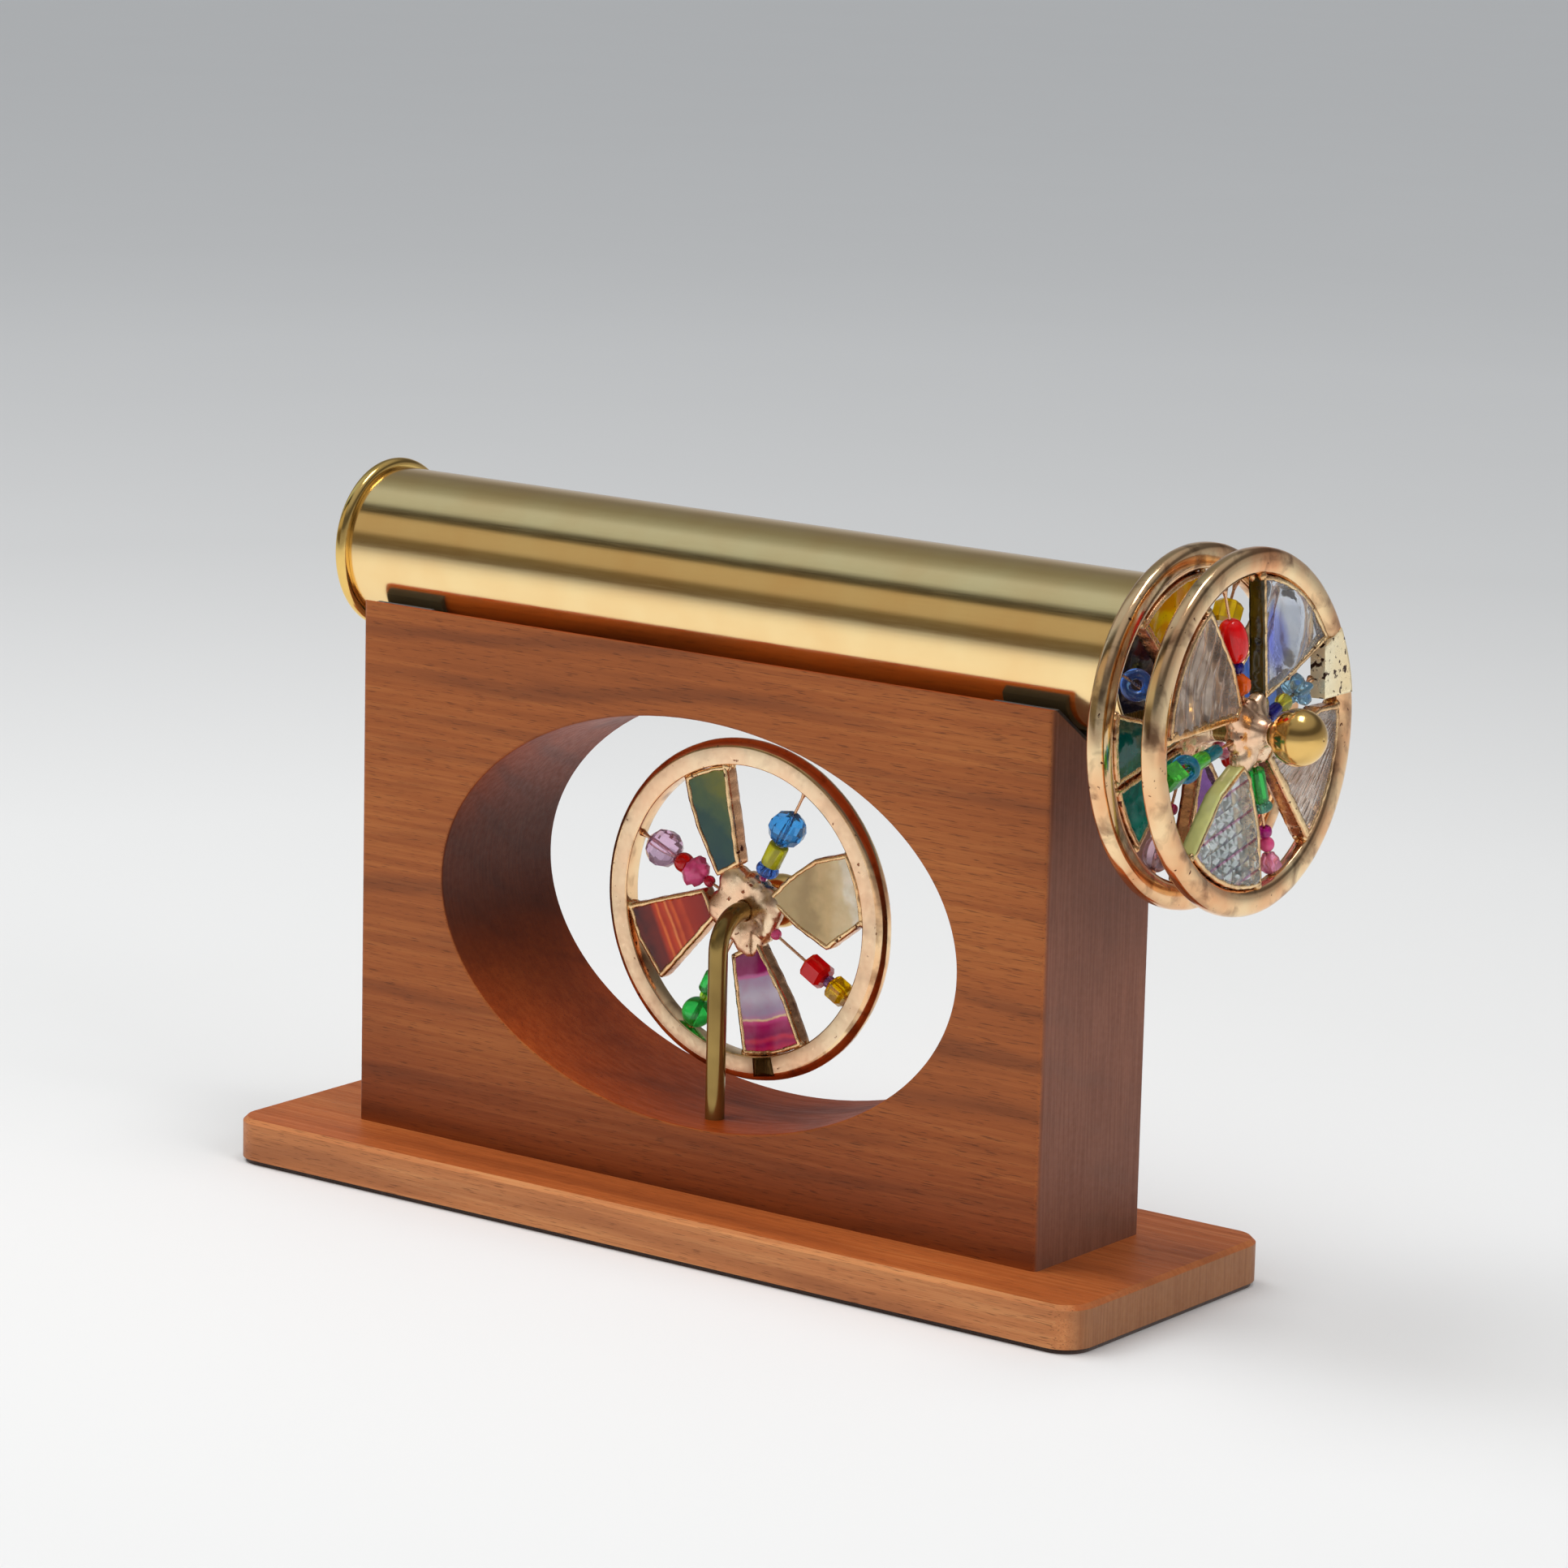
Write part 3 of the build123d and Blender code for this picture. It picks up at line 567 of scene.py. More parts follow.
def thread_bead(soup, wheel, angle, kind, place, width, length, mark, tilt=0):
    """One bead on the wire at an angle of the wheel, at its distance from the hub. tilt turns its hole
    towards the wheel's outer face, in degrees."""
    profile, sides, twist, shape, smooth = bead_shape(kind, width, length)
    verts, faces = revolve(profile, sides, twist, shape)
    along = (cos(radians(angle)), sin(radians(angle)))
    points = []
    ct, st = cos(radians(tilt)), sin(radians(tilt))
    for across, up, out in verts:
        reach = place + out * ct - up * st
        u, v = along[0] * reach - along[1] * across, along[1] * reach + along[0] * across
        points.append(wheel.at(u, v, up * ct + out * st))
    soup.add(points, [tuple(reversed(face)) for face in faces], mark, smooth)


def wire(soup, wheel, angle, start, end, seed, radius=0.36):
    """A plated wire from the hub to the rim with a slight bend, and a drop of solder at its outer end."""
    sides, rows = 10, 24
    ca, sa = cos(radians(angle)), sin(radians(angle))
    verts = []
    for row in range(rows + 1):
        reach = start + (end - start) * row / rows
        ease = sin(pi * row / rows)
        side = 0.18 * ease * wobble((reach, 0, 0), 0.12, seed)
        lift = 0.18 * ease * wobble((reach, 5, 0), 0.12, seed)
        thick = radius + max(0.0, row / rows - 0.93) * 9 + max(0.0, 0.06 - row / rows) * 9
        for k in range(sides):
            t = 2 * pi * k / sides
            across = side + thick * cos(t)
            verts.append(wheel.at(ca * reach - sa * across, sa * reach + ca * across, lift + thick * sin(t)))
    faces = grid(rows + 1, sides, False)
    faces += [tuple(reversed(range(sides))), tuple(rows * sides + k for k in range(sides))]
    soup.add(verts, [tuple(reversed(face)) for face in faces])


def blob(soup, wheel, u, v, w, radius, seed, squash):
    """A small uneven drop of solder."""
    rows, sides = 9, 14
    verts = []
    for row in range(1, rows):
        lean = pi * row / rows
        for side in range(sides):
            turn = 2 * pi * side / sides
            way = Vector((sin(lean) * cos(turn), sin(lean) * sin(turn), cos(lean) * squash))
            size = radius * (1 + 0.16 * wobble(way * 2 + Vector((u, v, 0)), 0.9, seed))
            verts.append(wheel.at(u + way.x * size, v + way.y * size, w + way.z * size))
    ends = len(verts)
    verts += [wheel.at(u, v, w + radius * squash), wheel.at(u, v, w - radius * squash)]
    faces = []
    for row in range(rows - 2):
        for side in range(sides):
            beside = (side + 1) % sides
            a, b = row * sides + side, row * sides + beside
            faces.append((a, a + sides, b + sides, b))
    for side in range(sides):
        beside = (side + 1) % sides
        last = (rows - 2) * sides
        faces += [(ends, side, beside), (ends + 1, last + beside, last + side)]
    soup.add(verts, faces)


def rim(wheel, outer, inner, half, seed, rounded):
    """A wheel's plated rim with the small lumps of hand work. The display wheel's is flat on its faces and
    half-round outside, and the two end wheels' are rounded all over."""
    if rounded:
        middle, reach = (outer + inner) / 2, (outer - inner) / 2
        profile, parts = [], 28
        for k in range(parts):
            a = 2 * pi * k / parts
            out, up = cos(a), sin(a)
            out = abs(out) ** 0.82 * (1 if out > 0 else -1)
            up = abs(up) ** 0.72 * (1 if up > 0 else -1)
            profile.append((middle + reach * out, half * up))
        flats = set()
    else:
        round_r = half * 0.86
        arc = []
        for k in range(11):
            a = radians(-90 + 18 * k)
            arc.append((outer - round_r + round_r * cos(a), half * sin(a)))
        profile = [(inner + 0.35, -half), (outer - round_r - 1.0, -half)] + arc
        profile += [(outer - round_r - 1.0, half), (inner + 0.35, half), (inner + 0.08, half - 0.12),
                    (inner, half - 0.4), (inner, -half + 0.4), (inner + 0.08, -half + 0.12)]
        flats = {0, 1, len(arc) + 1, len(arc) + 2}

    def worn(angle, radius, height):
        place = (radius * cos(angle), radius * sin(angle), height)
        depth = 0.05 * wobble(place, 0.22, seed) + 0.03 * wobble(place, 0.9, seed)
        if radius > outer - 1.5:
            return radius - 0.06 + depth, height * 0.985
        return radius + depth * 0.4, height * (0.975 + depth * 0.25)

    sides = 160
    marks = [1 if row in flats else 0 for row in range(len(profile)) for _ in range(sides)]
    return turned(wheel, profile, sides, worn, marks)


def solder_hub(wheel, webs, seed, spread, mouth):
    """The hub's tube in its mound of solder, drawn out towards each panel. mouth is the height at which
    the solder meets the rod on the inner side."""
    bore, mound_reach = 2.43, 9.5
    profile = [(bore, mouth), (2.85, mouth), (3.6, min(-1.4, mouth - 0.25)), (4.6, min(-2.1, mouth - 0.4)),
               (5.6, -2.4), (6.8, -2.4), (8.0, -2.1), (9.0, -1.5), (9.5, -0.5), (9.5, 0.6), (8.9, 1.6),
               (7.8, 2.2), (6.4, 2.6), (5.2, 2.9), (4.4, 3.3), (3.8, 4.0), (3.3, 4.9), (2.95, 5.7),
               (2.9, 6.2), (2.85, 6.5), (bore, 6.5)]

    def mound(angle, radius, height):
        if radius < 2.95:
            return radius, height
        weight = min(1.0, (radius - 2.9) / 3.0)
        place = (radius * cos(angle), radius * sin(angle), height)
        reach = (spread - 1) * mound_reach
        for web in webs:
            turn = (angle - radians(web) + pi) % (2 * pi) - pi
            reach += 2.2 * max(0.0, cos(min(abs(turn) * 3.2, pi / 2)))
        lumps = 0.7 * wobble(place, 0.34, seed) + 0.3 * wobble(place, 1.1, seed)
        swell = 1 + 0.22 * wobble(place, 0.3, seed + 5) * weight
        out = radius + weight * (lumps + reach * min(1.0, (radius - 2.9) / 5))
        return out, height * swell * (1 + 0.1 * lumps * weight)

    return turned(wheel, profile, 120, mound)


# ---------------------------------------------------------------- materials
# after the tones: the end grain at the ends and between them, darker inside the block's oval as painted
# shade, then the scales of the front and back faces, of every other face and of their foot, the last two
# painted shade, then the grain's shift and the gloss
walnut_block = wood("walnut_block", ((182, 110, 58), (160, 89, 46), (104, 56, 34)), (132, 88, 70),
                    (79, 35, 14), (1.05, 1.04, 0.95), (0.94, 0.5, 0.17), (0.66, 0.49, 0.37), (13, 5, 31),
                    0.03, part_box("upright_block"))
walnut_base = wood("walnut_base", ((212, 140, 82), (190, 112, 62), (140, 76, 42)), (171, 116, 78),
                   (171, 116, 78), (1.04, 1.26, 1.5), (0.84, 0.68, 0.55), (1.06, 1.24, 1.45), (57, 23, 90),
                   0.05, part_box("base_plate"))

# colour, worn colour, roughness, stretch and scale of the grain, bump, then spots, stain, patches and bare
metals = {name: metal(name, *row) for name, row in {
    "post_brass": ((166, 138, 78), (120, 96, 50), 0.2, (1.2, 1.2, 0.06), 1.4, 0.004, 0.02, (80, 60, 32), 0.0,
                   0.8),
    "tube_brass": ((255, 224, 164), (252, 214, 152), 0.16, (0.05, 1.5, 1.5), 2.0, 0.003),
    "cap_brass": ((250, 212, 130), (236, 196, 112), 0.14, 0.4, 1.0, 0.004),
    "ball_brass": ((248, 208, 130), (226, 180, 100), 0.16, 0.5, 1.0, 0.003),
    "joint_brass": ((126, 98, 54), (78, 54, 28), 0.28, (1.2, 1.2, 0.08), 1.6, 0.01),
    "aged_brass": ((166, 138, 76), (124, 98, 50), 0.26, (1.2, 1.2, 0.08), 1.6, 0.006, 0.03, (74, 56, 30), 0.0,
                   0.7),
    "rim_side": ((255, 226, 178), (238, 172, 122), 0.15, 0.3, 1.0, 0.02, 0.06, (96, 48, 30), 0.75),
    "rim_face": ((255, 228, 190), (255, 206, 166), 0.34, 0.8, 1.0, 0.03, 0.05, (150, 96, 70),
                 0.25),
    "plated_solder": ((255, 232, 196), (250, 192, 154), 0.28, 0.7, 1.0, 0.08, 0.07, (150, 86, 60),
                      0.6),
    "plated_foil": ((255, 224, 172), (236, 184, 130), 0.26, 1.1, 1.0, 0.08, 0.09, (96, 58, 38),
                    0.5),
    "plated_edge": ((240, 190, 144), (198, 128, 90), 0.24, 1.1, 1.0, 0.1, 0.1, (84, 38, 26), 0.8),
    "plated_plate": ((255, 244, 208), (255, 230, 180), 0.24, 0.5, 1.0, 0.03, 0.15, (60, 34, 22),
                     0.0, 0.5),
    "plated_wire": ((236, 190, 150), (206, 150, 112), 0.25, 1, 2.0, 0.01),
    "screw_steel": ((190, 190, 194), (150, 150, 156), 0.35, 0.6, 1.0, 0.01, 0.05, (90, 84, 80)),
    "mirror_face": ((245, 246, 248), (235, 238, 240), 0.03, 0.1, 1.0, 0.001),
}.items()}
felt_base = cloth("base_felt", (62, 42, 34))
felt_pads = cloth("cradle_felt", (34, 32, 33))
foam = cloth("packing_foam", (40, 40, 42))
clear = glass("clear_acrylic", (236, 242, 242))
dark_window = glass("dark_window", (44, 50, 84), 0.04, 0.25, 0.5)

# the pressed panels of the front wheel: the pyramids' pitch, width and turn, and the centre of the fan
rows_pitch, rows_width, rows_turn = 3.6, 3.7, 13.5
fan_centre = (41.0, 4.0)
panel_glass = {
    "front_wave_panel": textured("wave_glass", (232, 214, 196), (156, 134, 118), 0.8, 0.03),
    "front_bubble_panel": textured("bubble_glass", (236, 240, 246), (200, 208, 222), 0.9, 0.01,
                                   cast=(8.5, 20.5, 3.2, 9.5, (96, 110, 236))),
    "front_pyramid_panel": textured("pyramid_glass", (236, 242, 240), (190, 202, 202), 0.82, 0.02,
                                    lines=(rows_turn, rows_pitch * 2, (176, 84, 140))),
    "front_reeded_panel": textured("reeded_glass", (252, 246, 240), (196, 172, 154), 0.84, 0.03,
                                   fan=fan_centre),
    "display_green_panel": agate("green_agate", (14.4, 12.4), (1.0, 33.0), 0.16, 0.14, (56, 88, 70), (
        (0.0, 30, 68, 76), (0.3, 44, 80, 74), (0.52, 80, 104, 68), (0.75, 120, 124, 52),
        (1.0, 150, 138, 44))),
    "display_cream_panel": agate("cream_agate", (-8.0, 0.0), (-35.4, 4.0), 0.14, 0.14, (188, 162, 112), (
        (0.0, 200, 178, 134), (0.2, 196, 170, 122), (0.42, 176, 150, 104), (0.6, 218, 188, 136),
        (0.8, 234, 212, 168), (0.93, 250, 240, 220), (1.0, 232, 210, 176))),
    "display_magenta_panel": agate("magenta_agate", (-0.4, -9.9), (-8.0, -36.2), 0.03, 0.09,
                                   (196, 100, 156), (
        (0.0, 116, 4, 70), (0.2, 150, 12, 92), (0.235, 220, 120, 180), (0.26, 190, 172, 200),
        (0.42, 214, 204, 222), (0.56, 182, 164, 192), (0.6, 200, 150, 184), (0.615, 255, 224, 174),
        (0.635, 220, 70, 138), (0.68, 178, 4, 92), (0.76, 148, 2, 78), (0.8, 214, 44, 80),
        (0.84, 170, 8, 84), (0.89, 208, 36, 90), (1.0, 138, 4, 96))),
    "display_carnelian_panel": agate("carnelian_agate", (32.0, -8.4), (10.5, 2.3), 0.02, 0.08,
                                     (156, 38, 16), (
        (0.0, 70, 22, 22), (0.2, 110, 30, 22), (0.27, 196, 54, 12), (0.3, 236, 116, 50), (0.33, 190, 48, 12),
        (0.39, 210, 66, 18), (0.42, 244, 140, 76), (0.45, 192, 50, 12), (0.5, 232, 100, 40),
        (0.53, 182, 44, 12), (0.62, 206, 68, 26), (0.66, 172, 40, 14), (0.8, 160, 34, 14),
        (1.0, 126, 24, 16))),
    "rear_amber_panel": glass("amber_glass", (255, 222, 0), 0.02, 0.2, 0.5, 0.05, (236, 160, 6)),
    "rear_green_panel": glass("green_glass", (6, 112, 100), 0.03, 0.35, 0.45, 0.06),
    "rear_teal_panel": glass("teal_glass", (8, 124, 106), 0.03, 0.35, 0.45, 0.06),
    "rear_violet_panel": glass("violet_glass", (150, 100, 180), 0.02, 0.8, 0.3, 0.05),
    "rear_blue_panel": glass("blue_glass", (84, 130, 220), 0.02, 0.8, 0.3, 0.05),
}

# each bead colour and how clear its glass is
bead_glass = {key: glass("bead_" + key, colour, 0.03, seen_through, 0.15)
              for key, (*colour, seen_through) in {
    "lilac": (255, 218, 248, 0.85), "red": (236, 20, 18, 0.5), "pink": (255, 100, 160, 0.45),
    "ruby": (224, 30, 70, 0.7), "blue": (76, 178, 255, 0.85), "lime": (226, 222, 44, 0.55),
    "royal": (90, 150, 250, 0.85), "magenta": (206, 30, 150, 0.6), "violet": (170, 110, 170, 0.7),
    "amber": (255, 204, 4, 0.75), "green": (50, 214, 90, 0.8), "chartreuse": (180, 240, 60, 0.8),
    "navy": (34, 34, 160, 0.7), "straw": (226, 222, 90, 0.8), "ice": (160, 210, 236, 0.8),
    "orange": (255, 104, 14, 0.35), "scarlet": (244, 14, 20, 0.4), "teal": (10, 144, 160, 0.7),
    "grass": (96, 222, 76, 0.7), "cyan": (50, 176, 236, 0.85), "rose": (255, 166, 200, 0.75),
    "yellow": (255, 214, 10, 0.6), "mauve": (222, 186, 200, 0.85), "berry": (200, 30, 92, 0.6),
    "seafoam": (120, 200, 176, 0.8),
}.items()}

# the glass seen end-on at one side of two thick panels of the front wheel, after the foil's two materials
olive_edge = glass("olive_edge", (78, 64, 18), 0.06, 0.2, 0.8)
lime_edge = glass("lime_edge", (222, 220, 140), 0.08, 0.1, 0.3)
foil_materials = [metals["plated_foil"], metals["plated_edge"], olive_edge, lime_edge]

for material, names in (
        (walnut_base, "base_plate"), (walnut_block, "upright_block"), (felt_base, "base_felt"),
        (felt_pads, "left_cradle_felt right_cradle_felt"), (metals["screw_steel"], "block_screws"),
        (metals["cap_brass"], "eyepiece_cap"), (clear, "eyepiece_lens"), (dark_window, "object_window"),
        (metals["mirror_face"], "base_mirror left_mirror right_mirror"), (foam, "rear_packing front_packing"),
        (metals["aged_brass"], "axle_block wheel_axle tube_spacer wheel_spacer")):
    for name in names.split():
        nodes[name].data.materials.clear()
        nodes[name].data.materials.append(material)


# ---------------------------------------------------------------- tube, post and balls
low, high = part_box("scope_tube")
tube = Place(((low.x + high.x) / 2, 0, (low.z + high.z) / 2), (1, 0, 0), (0, 1, 0))
end = (high.x - low.x) / 2 / MM
outer = (high.z - low.z) / 2 / MM
inner = outer - 0.8
tube_profile = [(inner, -end), (outer - 0.12, -end), (outer, -end + 0.12), (outer, -end + 0.5),
                (outer, end - 0.5), (outer, end - 0.12), (outer - 0.12, end), (inner, end),
                (inner, end - 0.5), (inner, -end + 0.5)]
piece("brass_tube", turned(tube, tube_profile, 256), "scope", [metals["tube_brass"]],
      ["scope_tube"])

# the display wheel's post, a rod bent over towards the wheel: (y, z, turn) along its middle
low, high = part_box("display_post")
radius = (high.x - low.x) / 2
bend, sides, steps = 8.6 * MM, 56, 12
foot_y, bend_z = low.y + radius, high.z - radius - bend
path = [(foot_y, low.z + (bend_z - low.z) * k / steps, 0.0) for k in range(steps)]
path += [(foot_y + bend * (1 - cos(a)), bend_z + bend * sin(a), a)
         for a in [pi / 2 * k / 24 for k in range(25)]]
path.append((high.y, high.z - radius, pi / 2))
verts = [((low.x + high.x) / 2 + radius * sin(t), y - radius * cos(t) * cos(a), z + radius * cos(t) * sin(a))
         for y, z, a in path for t in [2 * pi * k / sides for k in range(sides)]]
soup = Soup()
soup.add(verts, grid(len(path), sides, False))
for ring in (verts[:sides], verts[-sides:]):
    soup.add(ring, [tuple(range(sides))], smooth=False)
piece("bent_post", soup, "stand", [metals["post_brass"]], ["display_post"])


def ball(wheel, body, name, node):
    """A polished ball with the blind hole that takes the rod's end."""
    radius, centre, hole, depth = 6.6, 13.2, 2.4, 8.2
    start, parts = hole / radius, 40
    turns = [start + (pi - start - 0.01) * k / parts for k in range(parts + 1)]
    floor = centre - radius + depth
    profile = [(radius * sin(t), centre - radius * cos(t)) for t in turns] + [(0.02, floor), (hole, floor)]
    piece(name, turned(wheel, profile, 80), body, [metals["ball_brass"]], [node])


# ---------------------------------------------------------------- wheels
def wavy(u, v):
    """Soft flow lines that fall from the top of the upper left panel."""
    flow = u - 0.3 * v + 5.0 * wobble((u, v * 0.7, 0), 0.08, 2)
    return 0.55 * sin(flow * 1.6) + 0.6 * wobble((u + 0.3 * v, v * 0.25, 1), 0.22, 6)


def pyramids(u, v):
    """Rows of four-sided pyramids."""
    turn = radians(rows_turn)
    a = (u * cos(turn) + v * sin(turn)) / rows_width
    b = (-u * sin(turn) + v * cos(turn)) / rows_pitch
    return 1.1 * (1 - 2 * max(abs(a - round(a)), abs(b - round(b))))


def reeds(u, v):
    """Broad shallow folds under the fine rays of the lower right panel."""
    angle = atan2(v - fan_centre[1], u - fan_centre[0])
    return 0.3 * sin(angle * 22 + 0.8 * wobble((u, v, 0), 0.2, 4))


def bubbled(u, v):
    """A large lens-like drop with a soft fold beside it."""
    drop = 2.0 * max(0.0, 1 - hypot((u - 14.5) / 5.2, (v - 22) / 9.5) ** 2) ** 0.7
    fold = 0.9 * sin((0.3 * u - 0.16 * v) + 1.2 * wobble((u, v, 0), 0.07, 8))
    return drop + fold + 0.12 * wobble((u, v, 2), 0.3, 9)


def faint(u, v):
    """The slight unevenness of hand-rolled glass."""
    return 0.08 * wobble((u, v, 0), 0.25, 3)


def flat(u, v):
    """Ground and polished."""
    return 0.0


rim_outer, rim_inner, rim_half = 42.0, 35.6, 2.5
# panel corners beyond rim_touch meet the rim, and joint_radius is where the rim's two outer joints end
rim_touch, joint_radius = 34, 40.6

# name, direction of u, half thickness of the panels, seed, spread of the hub's solder, height of its mouth
wheel_list = [("display", (-1, 0, 0), 1.8, 3.0, 1.0, -1.9), ("front", (0, 1, 0), 2.0, 11.0, 0.8, -0.5),
              ("rear", (0, 1, 0), 2.0, 19.0, 0.8, -0.5)]
# the body and node of the ball at a wheel's hub
knobs = {"display": ("display_knob", "display_ball"), "front": ("axle_knob", "axle_ball")}

# the direction of each panel's middle in degrees, and the relief of its outer face
panels = {
    "display_carnelian_panel": (357, flat), "display_green_panel": (62, flat),
    "display_cream_panel": (160, flat), "display_magenta_panel": (262, flat),
    "front_bubble_panel": (55, bubbled), "front_wave_panel": (142, wavy),
    "front_pyramid_panel": (246, pyramids), "front_reeded_panel": (320, reeds),
    "rear_amber_panel": (110, faint), "rear_green_panel": (185, faint), "rear_teal_panel": (208, faint),
    "rear_violet_panel": (279, faint), "rear_blue_panel": (375, faint),
}
# the place in foil_materials of a panel's bare side and the way that side faces, in degrees
bare_sides = {"front_bubble_panel": (2, 180), "front_pyramid_panel": (3, 142)}
# the way that a front panel's broad band of solder faces, in degrees
heavy_sides = {"front_wave_panel": 268, "front_reeded_panel": 220}

# each wire's direction in degrees and its beads: shape, place, width, length, colour and any tilt
strings = {
    "display_lilac_beads": (23.5, ("facet", 28.2, 9.4, 9.4, "lilac"), ("donut", 21.5, 5.0, 3.6, "red"),
                            ("lumps", 17.4, 8.4, 6.2, "pink"), ("ball", 12.9, 2.9, 2.9, "ruby")),
    "display_blue_beads": (117.5, ("facet", 24.2, 9.2, 9.2, "blue"), ("tube", 16.5, 5.0, 6.0, "lime"),
                           ("donut", 12.0, 5.8, 2.8, "royal"), ("ball", 9.4, 2.2, 2.2, "magenta")),
    "display_amber_beads": (209.5, ("ball", 9.8, 2.8, 2.8, "pink"), ("hex", 24.2, 7.2, 6.2, "scarlet"),
                            ("donut", 28.3, 3.2, 1.6, "violet"), ("hex", 32.0, 7.0, 5.0, "amber")),
    "display_green_beads": (298, ("tube", 22.6, 5.0, 5.2, "green"), ("ball", 26.5, 2.8, 2.8, "chartreuse"),
                            ("ball", 31.6, 7.6, 7.6, "green")),
    "front_flower_beads": (18, ("tube", 10.6, 3.0, 4.4, "navy"), ("ball", 15.4, 4.2, 4.2, "straw"),
                           ("flower", 21.8, 8.0, 4.4, "ice")),
    "front_red_beads": (107, ("lumps", 11.8, 5.2, 5.2, "orange"), ("donut", 16.0, 3.0, 2.2, "navy"),
                        ("oval", 22.6, 6.8, 10.6, "scarlet")),
    "front_teal_beads": (190, ("tube", 15.6, 3.2, 5.2, "teal"), ("tube", 21.4, 3.8, 5.6, "grass"),
                         ("hoop", 26.6, 6.8, 2.8, "cyan", 36), ("cube", 31.6, 6.4, 5.6, "grass")),
    "front_pink_beads": (286, ("tube", 13.2, 4.4, 8.0, "green"), ("donut", 18.6, 5.6, 2.0, "seafoam"),
                         ("donut", 24.8, 3.4, 2.4, "magenta"), ("ball", 28.0, 3.6, 3.6, "pink"),
                         ("lumps", 32.6, 5.6, 5.2, "rose")),
    "rear_yellow_beads": (61, ("ball", 11.4, 3.0, 3.0, "straw"), ("tube", 17.0, 4.0, 6.0, "orange"),
                          ("hex", 27.8, 6.8, 5.6, "yellow")),
    "rear_blue_beads": (152, ("ball", 12.0, 4.0, 4.0, "royal"), ("tube", 18.4, 3.6, 6.0, "ice"),
                        ("hoop", 27.2, 7.6, 3.2, "royal", 40)),
    "rear_mauve_beads": (240, ("ball", 11.2, 3.2, 3.2, "ruby"), ("donut", 20.2, 3.4, 2.2, "berry"),
                         ("donut", 22.8, 3.4, 2.2, "berry"), ("oval", 31.0, 6.6, 8.6, "mauve")),
    "rear_rose_beads": (327, ("tube", 12.6, 3.4, 5.0, "rose"), ("ball", 18.0, 4.6, 4.6, "red"),
                        ("cube", 28.4, 6.4, 5.4, "rose")),
}
# the flower's wire stops under its petals, and the others reach the rim
wire_start, wire_ends = 7.6, {"front_flower_beads": 27.6}


def own(table, name):
    """The table's rows that belong to one wheel."""
    return [(node, row) for node, row in table.items() if node.startswith(name)]


